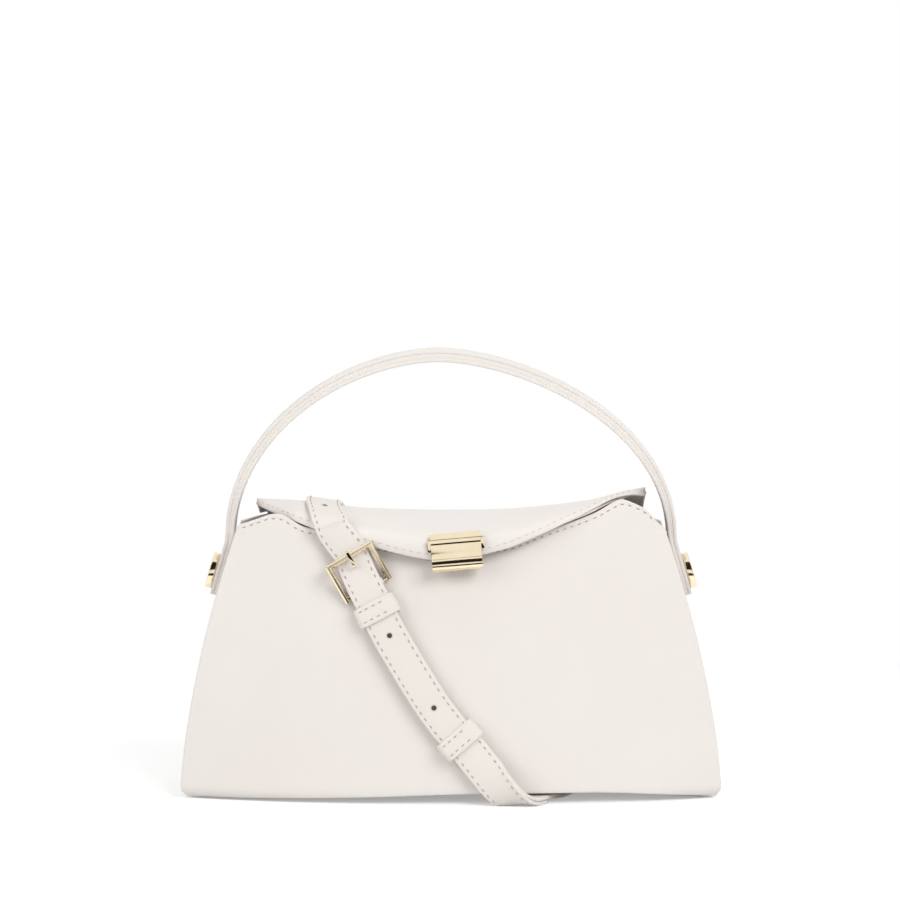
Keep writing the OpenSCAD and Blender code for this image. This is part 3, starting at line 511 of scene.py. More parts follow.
def panel_point(side, s, z, top):
    """Skin with the groove of the top stitching and soft, slightly full leather."""
    p = wall_point(side, s, z)
    groove = 0.22 * math.exp(-((top - z - STITCH_DROP) / 0.55) ** 2)
    full = 0.9 * math.sin(math.pi * min(max((z - 4) / 120, 0), 1)) ** 2 * (1 - abs(s) ** 3)
    dent = 0.5 * math.exp(-((s + 0.35) / 0.3) ** 2 - ((z - 60) / 34) ** 2)
    return p + V((0, side * (full - dent - groove), 0))


def add_sheet(shape, outer, thick, towards, turn, mats=(0, 0)):
    """Sheet under a grid that faces a direction. Gives back the grid's normals."""
    normals = grid_normals(outer, V(towards))
    inner = [[p - n * thick for p, n in zip(row, line)] for row, line in zip(outer, normals)]
    if turn:
        outer, inner = turned(outer), turned(inner)
    shape.sheet(outer, inner, *mats)
    return normals


def panel(side, name):
    top_of = front_top if side < 0 else back_top
    crowding, width = 1.12, 0.994
    ss = [math.copysign(1 - (1 - abs(s)) ** crowding, s) * width for s in span(129)]
    tops = [top_of(s) for s in ss]
    heights = [rows_below(t, FOOT_GAP + arch(s), EDGE_MARKS, 46) for s, t in zip(ss, tops)]
    grid = [[panel_point(side, s, hs[i], t) for s, hs, t in zip(ss, heights, tops)]
            for i in range(len(heights[0]))]
    shape = Shape()
    normals = add_sheet(shape, grid, LEATHER_T, (0, side, 0.2), side > 0, (0, 2))
    line = [(panel_point(side, s, t - STITCH_DROP, t), n)
            for s, t, n in zip(ss, tops, normals[4])]
    shape.stitches(line[2:-2], 2.4, 1.6, 0.25)
    shape.build(name, "bag", [BODY, THREAD, FLESH], replaces=[name])


def lining(side, name):
    top_of = front_top if side < 0 else back_top
    depth, wrinkle, top_gap, low_gap = 3.2, 0.25, 2.6, FOOT_R + 2.5
    rows = []
    for i in range(25):
        share = (i / 24) ** 1.2
        rows.append([wall_point(side, s, mix(low_gap + arch(s), top_of(s) - top_gap, share),
                                depth + wrinkle * math.sin(s * 23 + i * 0.8))
                     for s in span(49, 0.962)])
    shape = Shape()
    add_sheet(shape, rows, LINING_T, (0, side, 0), side < 0)
    shape.build(name, "bag", [LINING], "lining", [name])


def gusset_point(side, q, z, d, edge):
    recess, dish = 2, 1.2
    return V((side * (half_len(z) - recess - dish * (1 - q * q) - d),
              q * (seam_y(z) - edge - SOFT_GAP), z))


def gusset(side, name, inner=False):
    """End wall or its lining, with a soft fold down its middle."""
    count, width, dip, rim = 33, 0.97, 5, 0.8
    d0 = LEATHER_T + SOFT_GAP if inner else 0
    thick = LINING_T if inner else LEATHER_T
    edge = 3.6 if inner else LEATHER_T
    low = FOOT_R if inner else FOOT_GAP
    rows = []
    for i in range(41):
        row = []
        for q in span(count, width):
            top = 0.965 * CORNER_H - dip * (1 - q * q) - rim
            p = gusset_point(side, q, mix(low, top, (i / 40) ** 1.1), d0, edge)
            fold = 0.0 if inner else 0.5 * math.exp(-(q / 0.16) ** 2) * (1 - i / 40)
            row.append(p - V((side * fold, 0, 0)))
        rows.append(row)
    shape = Shape()
    normals = add_sheet(shape, rows, thick, (side, 0, 0), side < 0)
    if not inner:
        for share in (-0.9, 0.9):
            j = int((share / width + 1) / 2 * (count - 1))
            shape.stitches([(rows[i][j], normals[i][j]) for i in range(1, 40)], 2.5, 1.5, 0.28)
    mats = [LINING] if inner else [BODY, THREAD]
    shape.build(name, "bag", mats, "lining" if inner else "leather", [name])


def base_sheet(name, lift, thick, inset, mats, slot):
    """Sheet of the base, arched as the foot is."""
    panel_low, gusset_in = 0.4, 3.2
    half = half_len(panel_low) - gusset_in - LEATHER_T - inset
    rows = []
    for q in span(25, 0.985):
        rows.append([V((s * half, q * wall_y(s, 2 * panel_low, LEATHER_T + inset),
                        arch(s) + lift)) for s in span(97, 0.995)])
    shape = Shape()
    shape.sheet(rows, [[p + V((0, 0, -thick)) for p in row] for row in rows])
    shape.build(name, "bag", mats, slot, [name])


# Flap: outer leather and inner leather, each with its own round edge, and a stitch line
FLAP_COLS, FLAP_ROWS = 121, 41


def flap_grid(d, t1):
    """Grid at depth d under the flap's skin, from the hinge to the share t1 of its reach."""
    grid = []
    for i in range(FLAP_ROWS):
        t = mix(0.005, t1, (i / (FLAP_ROWS - 1)) ** 0.85)
        row = []
        for k in span(FLAP_COLS):
            u = math.copysign(1 - (1 - abs(k)) ** 1.15, k) * 0.994
            row.append(flap_point(u, t) - flap_normal(u, t) * d)
        grid.append(row)
    return grid


def flap_sheet(name, d0, d1, mats, stitched, t1):
    shape = Shape()
    shape.sheet(flap_grid(d0, t1), flap_grid(d1, t1))
    if stitched:
        line = []
        for k in range(161):
            u = mix(-0.965, 0.965, k / 160)
            p = flap_point(u, 0.999)
            t = 0.999
            while (flap_point(u, t) - p).length < STITCH_DROP and t > 0.5:
                t -= 0.004
            line.append((flap_point(u, t) - flap_normal(u, t) * d0, flap_normal(u, t)))
        shape.stitches(line, 2.3, 1.7, 0.19)
    shape.build(name, "flap", mats, "leather", [name])


# Strap section: a flat band with round edges and a faint seam in each
def band_profile(w, t, seam=0.16):
    h = t / 2
    r = min(h, 0.85)
    out = []
    for side in (1, -1):
        for k in range(9):
            a = math.radians(90 * side - k * 22.5)
            x = side * (w / 2 - r) + r * math.cos(a)
            if k == 4:
                x -= side * seam
            out.append((x, h + h * math.sin(a)))
    return out


def strap_shape(rows):
    """Strap along rough rows of (place, outward normal), stitched near both edges."""
    route = smooth_rows(rows, 2.2)
    line = [p for p, _ in route]
    profile = band_profile(STRAP_W, STRAP_T)
    bands, frames = [], []
    for i, (p, n0) in enumerate(route):
        d = step_at(line, i).normalized()
        n = (n0 - d * n0.dot(d)).normalized()
        side = n.cross(d)
        bands.append([p + side * x + n * y for x, y in profile])
        frames.append((p, n, side))
    shape = loft(bands)
    for sign in (-1, 1):
        threads = [(p + side * sign * (STRAP_W / 2 - 2.1) + n * STRAP_T, n)
                   for p, n, side in frames]
        shape.stitches(threads[1:-1], 2.4, 1.7, 0.26)
    return shape


# Strap routes, as the solids have them
LINE = [(0.146, 0.111), (0.231, 0.032), (0.343, -0.062), (0.594, -0.223), (0.681, -0.269),
        (0.818, -0.34), (0.974, -0.403), (1.08, -0.46)]
LIFT = [(0.14, 0), (0.7, 0), (0.76, 1), (0.885, 1), (0.925, 2.2), (1.05, 3)]
TAIL_LIFT = 2.1
BILLET_LIFT = TAIL_LIFT + STRAP_T + LAYER_GAP
ROLL_Z = 0.15 * CORNER_H
FRONT_Y = face_y(FOOT_R)
ROLL = [(0.142, 0.43, 0.74, -0.97, -0.15), (0.175, 0.87, 0.52, -0.9, -0.4),
        (0.208, 1, 0.34, -0.7, -0.7), (0.237, 0.67, 0.235, -0.35, -0.93),
        (0.27, -0.17, 0, 0, -1), (0.299, -1.17, 0, 0, -1)]
UNDER = [(0.328, -0.26, 0.023, 0, -1), (0.365, -0.19, 0, 0, -1), (0.416, -0.058, 0, 0, -1),
         (0.467, 0.102, 0, 0, -1), (0.504, 0.248, 0, 0, -1), (0.533, 0.423, 0, 0, -1)]
RIGHT_RISE = [(0.562, 0.7, 0.125, 0.1, 1), (0.584, 0.57, 0.111, 0.3, 0.95),
              (0.606, 0.467, 0.136, 0.7, 0.7), (0.624, 0.405, 0.207, 0.93, 0.35),
              (0.639, 0.35, 0.32, 0.97, 0.24)]
LEFT_FALL = [(-0.642, 0.35, 0.32, -0.98, -0.2), (-0.639, 0.394, 0.171, -0.9, -0.4),
             (-0.631, 0.46, 0.064, -0.6, -0.8), (-0.624, 0.54, 0.024, -0.2, -0.98),
             (-0.617, 0.642, 0, 0, -1), (-0.609, 0.76, 0, 0, -1)]
LEFT_RISE = [(-0.547, 0.715, 0.118, 0.1, 1), (-0.522, 0.6, 0.093, 0.15, 0.99),
             (-0.496, 0.504, 0.086, 0.5, 0.87), (-0.482, 0.442, 0.136, 0.9, 0.4)]
CLIMB = (0.21, 0.36, 0.5, 0.64, 0.77, 0.87, 0.94)
FLOOR_Z = STRAP_T + 0.1
STACK_H = 2 * STRAP_T + LAYER_GAP + 0.1
RING_X = 0.642 * HALF_BASE
RING_Z = 112
RING_Y = wall_y(RING_X / half_len(RING_Z), RING_Z) + 3.5
RING_DROP, HOOK_LEN = 13, 30
HOOK_LEAN, RING_LEAN = math.radians(18), math.radians(35)
LOOP_Y, LOOP_R = 0.861, 8
FOLD_R = 1.2


def strap_x(z):
    return HALF_BASE * along(LINE, z / CORNER_H)


def strap_skin(z, h):
    x = strap_x(z)
    return skin_at(x, z) + skin_normal(x, z) * h


def front_row(z, h=TAIL_LIFT):
    return (strap_skin(z, h), skin_normal(strap_x(z), z))


def roll_rows(extra=0.0):
    out = []
    for x, y, z, ny, nz in ROLL:
        n = V((0, ny, nz)).normalized()
        out.append((V((x * HALF_BASE, -FRONT_Y - y * FOOT_R, max(z * ROLL_Z, STACK_H)))
                    + n * extra, n))
    return out


def places(shares):
    return [(V((x * HALF_BASE, y * HALF_BASE, max(z * CORNER_H, FLOOR_Z))),
             V((0, ny, nz)).normalized()) for x, y, z, ny, nz in shares]


def loop_turn(x0, x1):
    """Loop behind the bag where the strap turns back over the floor."""
    out = []
    for i in range(9):
        a = math.pi * i / 8
        out.append((V((mix(x0, x1, i / 8) * HALF_BASE,
                       LOOP_Y * HALF_BASE + LOOP_R * math.sin(a),
                       FLOOR_Z + LOOP_R * (1 - math.cos(a)))),
                    V((0, math.sin(a), -math.cos(a)))))
    return out


def hook_end(side):
    ring_low = V((side * RING_X, RING_Y + RING_DROP * math.sin(RING_LEAN),
                  RING_Z - RING_DROP * math.cos(RING_LEAN)))
    return ring_low + V((0, math.sin(HOOK_LEAN), -math.cos(HOOK_LEAN))) * HOOK_LEN


def end_fold(side, n0):
    """The strap's end folded round the bar of its hook."""
    n = V(n0).normalized()
    up = V((0, 0, 1))
    up = (up - n * up.dot(n)).normalized()
    out = []
    for a in (0, 40, 80, 120, 160, 180):
        m = n * math.cos(math.radians(a)) + up * math.sin(math.radians(a))
        out.append((hook_end(side) + m * FOLD_R, m))
    out.append((hook_end(side) - n * FOLD_R - up * 12, -n))
    return out


OVER_U = [(0, -0.65), (0.5, -0.653), (0.75, -0.628), (1, -0.57)]
OVER_GAP = 0.45
MEET_T = 0.22


def over_rows(t0, t1, count):
    rows = []
    for i in range(count):
        t = mix(t0, t1, i / (count - 1))
        u = along(OVER_U, t)
        n = flap_normal(u, t)
        rows.append((flap_point(u, t) + n * OVER_GAP, n))
    return rows


def billet_h(z):
    return BILLET_LIFT + 0.2 * along(LIFT, z / CORNER_H)


HOLES, FLAP_HOLE_T = (83.2, 48.0), 0.62


def hole(shape, p, n):
    """A punched hole: a dark disc painted as the shade inside it, and a pale raised lip."""
    shape.lathe(p, n, [(0.01, 0.03), (1.0, 0.03), (1.35, 0.05), (1.45, 0.16), (1.62, 0.2),
                       (1.8, 0.12), (1.9, -0.05)], 28, 2)
    # Dark disc: painted shade at the bottom of the hole
    shape.lathe(p, n, [(0.01, 0.05), (1.3, 0.06), (1.32, -0.02)], 28, 3)


def build_strap():
    upper = over_rows(MEET_T, 0.955, 10)
    upper += [front_row(z, billet_h(z) + lift) for z, lift in
              ((124.2, 0.35), (120, 0.0), (114, 0.0))]
    upper += [front_row(z, billet_h(z)) for z in range(106, 25, -8)]
    shape = strap_shape(upper + roll_rows(BILLET_LIFT - TAIL_LIFT))
    for z in HOLES:
        hole(shape, strap_skin(z, billet_h(z) + STRAP_T), skin_normal(strap_x(z), z))
    u = along(OVER_U, FLAP_HOLE_T)
    n = flap_normal(u, FLAP_HOLE_T)
    hole(shape, flap_point(u, FLAP_HOLE_T) + n * (OVER_GAP + STRAP_T), n)
    front = shape.build("strap_front", None, [STRAP, THREAD, EDGE, HOLE_SHADE], "leather")
    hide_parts("strap_billet", "strap_over_flap")
    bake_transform(front)

    tail = [front_row(103.1)] + [front_row(z) for z in range(99, 24, -6)]
    tail += roll_rows() + places(UNDER) + loop_turn(0.54, 0.555) + places(RIGHT_RISE)
    tail += end_fold(1, (0, 0.97, 0.24))
    strap_shape(tail).build("strap_tail_leather", "bag", [STRAP, THREAD], "leather",
                            ["strap_tail"])

    rear = list(reversed(end_fold(-1, (0, -0.99, -0.14)))) + places(LEFT_FALL)
    rear += loop_turn(-0.599, -0.569) + places(LEFT_RISE)
    for k in CLIMB:
        z = k * CORNER_H
        x = mix(-0.478, -0.46, k) * HALF_BASE
        rear.append((V((x, wall_y(x / half_len(z), z) + 1.5, z)),
                     V((0, 1, 0.28)).normalized()))
    rear += [(V((-63.2, 27.0, 139.2)), V((0, 0.75, 0.66)))] + over_rows(0.06, MEET_T, 5)
    back = strap_shape(rear).build("strap_back", None, [STRAP, THREAD], "leather")
    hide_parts("strap_rear")
    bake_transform(back)


# Places on the front skin, each with the strap's or buckle's own directions
def skin_frame(x, z, lean):
    p, n = skin_at(x, z), skin_normal(x, z)
    down = V((math.sin(lean), 0, -math.cos(lean)))
    d = (down - n * down.dot(n)).normalized()
    w = n.cross(d)
    return Matrix(((w.x, -d.x, n.x, p.x), (w.y, -d.y, n.y, p.y), (w.z, -d.z, n.z, p.z),
                   (0, 0, 0, 1)))


def strap_lean(z):
    return math.atan(strap_x(z) - strap_x(z + 1))


def keeper(name, z, body):
    """Leather loop: a rounded band with a flat top, pinched at its sides, stitched twice."""
    place = skin_frame(strap_x(z), z, strap_lean(z))
    half_w, in_h, t = STRAP_W / 2 + 0.55, 2 * STRAP_T + LAYER_GAP + 0.6, 1.45
    low = TAIL_LIFT - 0.3
    r, half_l = 1.5, 5.25
    corners = [(-half_w + r, low + in_h - r, 180, 90), (half_w - r, low + in_h - r, 90, 0),
               (half_w - r, low + r, 0, -90), (-half_w + r, low + r, -90, -180)]
    path = []
    for cx, cy, a0, a1 in corners:
        for k in range(7):
            a = math.radians(mix(a0, a1, k / 6))
            path.append((cx + r * math.cos(a), cy + r * math.sin(a), math.cos(a), math.sin(a)))
    dense = []
    for i, here in enumerate(path):
        there = path[(i + 1) % len(path)]
        n = max(1, int(math.hypot(there[0] - here[0], there[1] - here[1]) / 1.2))
        for k in range(n):
            dense.append([mix(a, b, k / n) for a, b in zip(here, there)])
    end = [(-half_l + 0.5, 0), (-half_l + 0.12, 0.3), (-half_l, t / 2),
           (-half_l + 0.12, t - 0.3), (-half_l + 0.5, t), (-3.3, t + 0.12), (-2.6, t - 0.02),
           (-1.5, t + 0.16)]
    profile = end + [(0, t + 0.2)] + [(-y, h) for y, h in reversed(end)]
    rows = []
    for x, y, nx, ny in dense:
        side = abs(x) > half_w - 1.2
        rows.append([place @ V((x + nx * h * (1.08 if side else 1),
                                across * (0.97 if side else 1), y + ny * h))
                     for across, h in profile])
    rows.append(rows[0])
    shape = Shape()
    shape.grid(rows, 0, wrap=True)
    for across in (-2.95, 2.95):
        line = [(place @ V((mix(-half_w + 0.8, half_w - 0.8, k / 20), across,
                            low + in_h + t + 0.03)), place.to_3x3() @ V((0, 0, 1)))
                for k in range(21)]
        shape.stitches(line, 2.3, 1.5, 0.25)
    shape.build(name + "_leather", body, [STRAP, THREAD], "leather", [name])


# Buckle: its own directions are across, along and off the strap, from the heel bar
HEEL_R, BUCKLE_W, BUCKLE_L, WIRE = 1.0, 26.6, 22, 2.8
BAR_SPAN = BUCKLE_L - WIRE
HEEL_H = 0.8 + HEEL_R + 0.3 + SOFT_GAP
TOP_H = BILLET_LIFT + 0.2 + STRAP_T + 1.0 + WIRE / 2
BUCKLE = (skin_frame(-46.6, 114.5, math.radians(29.7))
          @ Matrix.Translation((0, -BAR_SPAN / 2, HEEL_H)))
TILT = Matrix.Rotation(math.asin((TOP_H - HEEL_H) / BAR_SPAN), 4, "X")


def buckle():
    """Square frame of faceted wire, mitred at its corners, on a round heel bar."""
    half, facet = WIRE / 2, 0.85
    section = [(-half, -half + facet), (-half + facet, -half), (half - facet, -half),
               (half, -half + facet), (half, half - facet), (half - facet, half),
               (-half + facet, half), (-half, half - facet)]
    w = (BUCKLE_W - WIRE) / 2
    rows = []
    for x, y, sx, sy in ((-w, -half, -1, 0), (-w, BAR_SPAN, -1, 1), (w, BAR_SPAN, 1, 1),
                         (w, -half, 1, 0)):
        rows.append([BUCKLE @ TILT @ V((x + sx * a, y + (a if sy else 0), b))
                     for a, b in section])
    shape = loft(rows)
    bar = [BUCKLE @ TILT @ V((x, 0, 0)) for x in (-w + 0.6, -w / 2, 0, w / 2, w - 0.6)]
    shape.tube(bar, HEEL_R, 20, 0, up=V((0, 1, 0.3)))
    piece = shape.build("buckle_square", "bag", [GOLD], "gold", ["buckle_frame"], flat=True)
    bevel = piece.modifiers.new("edges", "BEVEL")
    bevel.width = 0.16 * MM
    bevel.segments = 2
    bevel.limit_method = "ANGLE"
    bevel.angle_limit = math.radians(30)


def prong():
    """Flat-sided tongue: an eye round the bar, a bend up through its hole, a resting tip."""
    reach, eye_r = 12.6 - 0.75, 1.41
    low, high = HEEL_R + 0.06 + 0.35, TOP_H - HEEL_H + WIRE / 2 + 0.55
    line = []
    for a in range(-90, 91, 20):
        t = math.radians(a)
        line.append(V((0, -math.cos(t) * eye_r, math.sin(t) * eye_r)))
    line += [V((0, y, z)) for y, z in (
        (reach * 0.5, low + 0.1), (reach - 0.9, low + 0.2), (reach - 0.2, low + 0.8),
        (reach, (low + high) / 2), (reach + 0.2, high - 0.7), (reach + 0.9, high - 0.05),
        (mix(reach, BAR_SPAN, 0.6), high + 0.1), (BAR_SPAN, high + 0.05),
        (BAR_SPAN + 1.3, high - 0.25))]
    radii = [0.7] * (len(line) - 4) + [0.78, 0.85, 0.8, 0.55]
    b = V((1, 0, 0))
    rows = []
    for i, p in enumerate(line):
        n = b.cross(step_at(line, i).normalized())
        ring = []
        for k in range(12):
            a = 2 * math.pi * k / 12
            c, s = math.cos(a), math.sin(a)
            ring.append(BUCKLE @ (p + b * math.copysign(abs(c) ** 0.6, c) * radii[i] * 1.15
                                  + n * math.copysign(abs(s) ** 0.6, s) * 0.42))
        rows.append(ring)
    loft(rows).build("buckle_tongue", "prong", [GOLD], "gold", ["buckle_prong"])


def heel_fold():
    """The strap's end folded round the heel bar, in two halves beside the prong."""
    x0, x1 = 1.8, STRAP_W / 2
    section = ((x0, 1.15), (x0 + 0.2, 1.1), (x1 - 0.2, 1.1), (x1, 1.2), (x1, 1.75),
               (x1 - 0.25, 1.9), (x0 + 0.25, 1.9), (x0, 1.75))
    shape = Shape()
    for side in (-1, 1):
        rows = []
        for k in range(33):
            a = 2 * math.pi * k / 32
            rows.append([BUCKLE @ V((side * x, math.cos(a) * r, math.sin(a) * r))
                         for x, r in section])
        shape.grid(rows, 0, wrap=True)
    shape.build("heel_fold_leather", "bag", [STRAP], "leather", ["heel_fold"])


# Clasp: folded plate with a rolled end, from a point under the flap's tip
ROLL_R, CLASP_W, CLASP_H, CLASP_T = 2.6, 25.4, 20.6, 1.2
CLASP_X = 3.1
CLASP = (Matrix.Translation((CLASP_X, -FLAP_REACH - 1.3, FLAP_TIP + SOFT_GAP))
         @ Matrix.Rotation(math.radians(3), 4, "X") @ Matrix.Rotation(math.radians(-5), 4, "Y"))
PLATE_H = CLASP_H - 2 * ROLL_R
CREASE = 0.6 * PLATE_H


def clasp():
    """Plate with a crease, a leaning upper face and a heavy rounded roll below."""
    y0 = -1 - CLASP_T
    fold = math.radians(45)
    top = (PLATE_H - CREASE) / math.cos(fold) - 2.4
    yc, zc, r = -0.5, -1.55, 3.55
    section = [(y0, 1.65), (y0, CREASE * 0.5), (y0, CREASE - 0.6), (y0 + 0.1, CREASE - 0.1),
               (y0 + 0.5, CREASE + 0.4)]
    tip = (y0 + math.sin(fold) * top, CREASE + math.cos(fold) * top)
    bend = section[-1]
    section += [(mix(bend[0], tip[0], k), mix(bend[1], tip[1], k)) for k in (0.5, 0.95, 1.0)]
    inner_tip = (tip[0] + CLASP_T * math.cos(fold), tip[1] - CLASP_T * math.sin(fold))
    section += [(inner_tip[0] - 0.1, inner_tip[1] + 0.15), inner_tip,
                (y0 + CLASP_T + 0.5, CREASE - 0.4), (y0 + CLASP_T, CREASE - 1.0),
                (y0 + CLASP_T, 2.1)]
    for k in range(56):
        a = math.radians(mix(98, -241, k / 55))
        section.append((yc + r * math.cos(a), zc + r * math.sin(a)))
    half = CLASP_W / 2
    rows = []
    for x, shrink in ((-half, 0.25), (-half + 0.1, 0.1), (-half + 0.3, 0.0),
                      (half - 0.3, 0.0), (half - 0.1, 0.1), (half, 0.25)):
        row = []
        for i, (y, z) in enumerate(section):
            a, b = section[i - 1], section[(i + 1) % len(section)]
            t = V((b[0] - a[0], b[1] - a[1]))
            n = V((t.y, -t.x)).normalized() if t.length > 0 else V((0, 0))
            row.append(CLASP @ V((x, y + n.x * shrink, z + n.y * shrink)))
        rows.append(row)
    loft(rows).build("clasp_plate", "flap", [GOLD], "gold", ["clasp_cover"], sharp=28)


def soft_plate(name, at, size, body, node):
    """Plate with rounded corners and a soft edge."""
    w, t, h = [s / 2 for s in size]
    r = 1.1
    corners = ((w - r, h - r, 0), (-w + r, h - r, 90), (-w + r, -h + r, 180),
               (w - r, -h + r, 270))
    rows = []
    for y, inset in ((-t, 0.3), (-t + 0.08, 0.08), (-t + 0.3, 0), (t - 0.3, 0), (t, 0.2)):
        ring = []
        for cx, cz, a0 in corners:
            for k in range(7):
                a = math.radians(a0 + 90 * k / 6)
                ring.append(at @ V((cx + (r - inset) * math.cos(a), y,
                                    cz + (r - inset) * math.sin(a))))
        rows.append(ring)
    loft(rows).build(name, body, [GOLD], "gold", [node], sharp=35)


def clasp_plates():
    soft_plate("clasp_back_plate", CLASP @ Matrix.Translation((0, -0.2, PLATE_H * 0.52)),
               (28.8, 1, 6.6), "flap", "clasp_base")
    seat = (Matrix.Translation((CLASP_X, 0, 0)) @ skin_frame(0, 120.5, 0)
            @ Matrix.Rotation(math.radians(90), 4, "X") @ Matrix.Translation((0, -0.5, 0)))
    soft_plate("seat_plate_soft", seat, (18, 1, 7), "bag", "seat_plate")


# Handle: middle line with width and thickness along it
ARCH_LOW = 130
ARCH_HALF = (TAB_X - TAB_T / 2 / math.cos(TAB_LEAN)
             - (ARCH_LOW - PIVOT_H) * math.tan(TAB_LEAN))
LAYER_T = 1.95
TAB_STEPS = (-0.998, -0.985, -0.96, -0.92, -0.86, -0.75, -0.6, -0.45, -0.25, 0, 0.25, 0.5,
             0.75, 1, 1.2, 1.35)


def tab_point(side, r):
    return V((side * (TAB_X - TAB_T / 2 / math.cos(TAB_LEAN) - r * math.sin(TAB_LEAN)), 0,
              PIVOT_H + r * math.cos(TAB_LEAN)))


def handle_stations():
    """Points of the handle's middle line, each with its half width, thickness and normal."""
    def tab(side, k):
        r = k * TAB_R
        w = mix(TAB_R, HANDLE_W / 2, min(k / TAB_STEPS[-1], 1))
        if r < 0:
            w = math.sqrt(max(TAB_R ** 2 - r * r, 1))
        return (tab_point(side, r), w, TAB_T)
    stations = [tab(-1, k) for k in TAB_STEPS]
    steps = 96
    for i in range(1, steps):
        a = math.pi * (1 - i / steps)
        c, s = math.cos(a), math.sin(a)
        x = math.copysign(ARCH_HALF * abs(c) ** 1.15, c) - 6.5 * s ** 2.5
        stations.append((V((x, 0, ARCH_LOW + HANDLE_RISE * 0.943 * s)), HANDLE_W / 2,
                         mix(TAB_T, HANDLE_T, s ** 0.45)))
    stations += [tab(1, k) for k in reversed(TAB_STEPS)]
    line = [p for p, _, _ in stations]
    out = []
    for i, (p, w, t) in enumerate(stations):
        d = step_at(line, i).normalized()
        out.append((p, w, t, V((-d.z, 0, d.x))))
    return out


def handle_layer(name, up):
    """One leather of the handle: crowned a little outside, flat inside, its edges painted."""
    rows = []
    for p, w, t, n in handle_stations():
        h = t / 2
        layer = min(LAYER_T, h - 0.03)
        inset = min(0.55, w * 0.3)
        swell = 0.18 * min(1, max(0, (t - 4) / 1.5))
        half = [(w * 0.45, h + swell), (w - 2.4 * inset, h + swell * 0.5), (w - inset, h),
                (w - inset * 0.3, h - 0.22), (w, h - 0.7), (w - 0.02, h - layer + 0.35),
                (w - 0.3, h - layer + 0.02), (w * 0.5, h - layer)]
        other = [(-a, b) for a, b in reversed(half)]
        profile = other[5:] + [(0, h + swell)] + half + other[:5]
        rows.append([p + V((0, a * up, 0)) + n * up * b for a, b in profile])
    loft(rows).build(name + "_leather", "handle", [HANDLE], "leather", [name], sharp=60)


def handle_filler():
    """Core strip between the two leathers, drawn in a little at its painted edges."""
    rows = []
    for p, w, t, n in handle_stations():
        h = max(t / 2 - LAYER_T, 0.02) + 0.06
        w = max(w - 0.2, 0.5)
        rows.append([p + V((0, a, 0)) + n * b for a, b in
                     ((-w, -h * 0.6), (-w + 0.15, -h), (w - 0.15, -h), (w, -h * 0.6),
                      (w, h * 0.6), (w - 0.15, h), (-w + 0.15, h), (-w, h * 0.6))])
    loft(rows).build("handle_filler", "handle", [HANDLE], "leather", ["handle_core"], sharp=50)


def studs():
    """Round heads with a raised rim, each on its post."""
    head = [(2.4, -2.0), (2.4, 0.1), (8.9, 0.15), (9.2, 0.3), (9.3, 0.6), (9.3, 3.0),
            (9.2, 3.35), (8.9, 3.6), (8.5, 3.7), (8.2, 3.6), (7.9, 3.66), (6.0, 3.8),
            (3.0, 3.9), (0.05, 3.92)]
    for side, word in ((-1, "left"), (1, "right")):
        axis = V((side * math.cos(TAB_LEAN), 0, math.sin(TAB_LEAN)))
        shape = Shape()
        shape.lathe(V((side * TAB_X, 0, PIVOT_H)), axis, head, 72)
        shape.lathe(V((side * 105.3, 0, PIVOT_H)), V((side, 0, 0)),
                    [(2.2, 0), (2.5, 0.3), (2.5, 14.5)], 32)
        shape.build("stud_head_" + word, "handle", [GOLD], "gold", ["stud_" + word])


# Leather tabs that hold the rings at the back
def ring_tab(side, name):
    at = (Matrix.Translation((side * RING_X, RING_Y, RING_Z))
          @ Matrix.Rotation(math.radians(13), 4, "X"))
    turn = at.to_3x3()
    bore, thick, width = 1.05 + 0.1, 1.2, 12
    legs = (16, 8, 2)
    route = [(V((0, -bore, z)), V((0, -1, 0))) for z in legs]
    for a in range(0, 181, 30):
        m = V((0, -math.cos(math.radians(a)), -math.sin(math.radians(a))))
        route.append((m * bore, m))
    route += [(V((0, bore, z)), V((0, 1, 0))) for z in reversed(legs)]
    rows = [[at @ p + V((1, 0, 0)) * x + turn @ n * y
             for x, y in band_profile(width, thick, 0.0)] for p, n in smooth_rows(route, 1.2)]
    shape = loft(rows)
    a, b = 5.6, 1.1
    filler = [[at @ V((x, y, z)) for x, y in ((-a, -b), (a, -b), (a, b), (-a, b))]
              for z in (3.2, 6, 10, 15.6)]
    shape.grid(filler, 0, wrap=True, caps=True)
    upright = [([(x, z) for z in (3, 6, 9, 12, 15)], 1.3) for x in (-4.2, 4.2)]
    level = [([(x, z) for x in (-4, -2, 0, 2, 4)], 1.0) for z in (4.5, 14.6)]
    for line, gap in upright + level:
        shape.stitches([(at @ V((x, bore + thick, z)), turn @ V((0, 1, 0))) for x, z in line],
                       2.3, gap, 0.28)
    shape.build(name + "_leather", "bag", [STRAP, THREAD], "leather", [name])


# Leather hinge between the back panel and the flap, hidden at rest
def hinge_fold():
    rises = (-3, -0.4, 0.1, 0.6, 1.1, 1.6)

    def grid(depth):
        line = [flap_point(mix(-0.95, 0.95, k / 40), 0) for k in range(41)]
        return [[V((p.x, p.y - depth, p.z - FLAP_T - FLAP_LIFT + rise)) for p in line]
                for rise in rises]

    shape = Shape()
    shape.sheet(grid(0.6), grid(1.2))
    piece = shape.build("hinge_fold", None, [FLAP], "leather")
    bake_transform(piece)


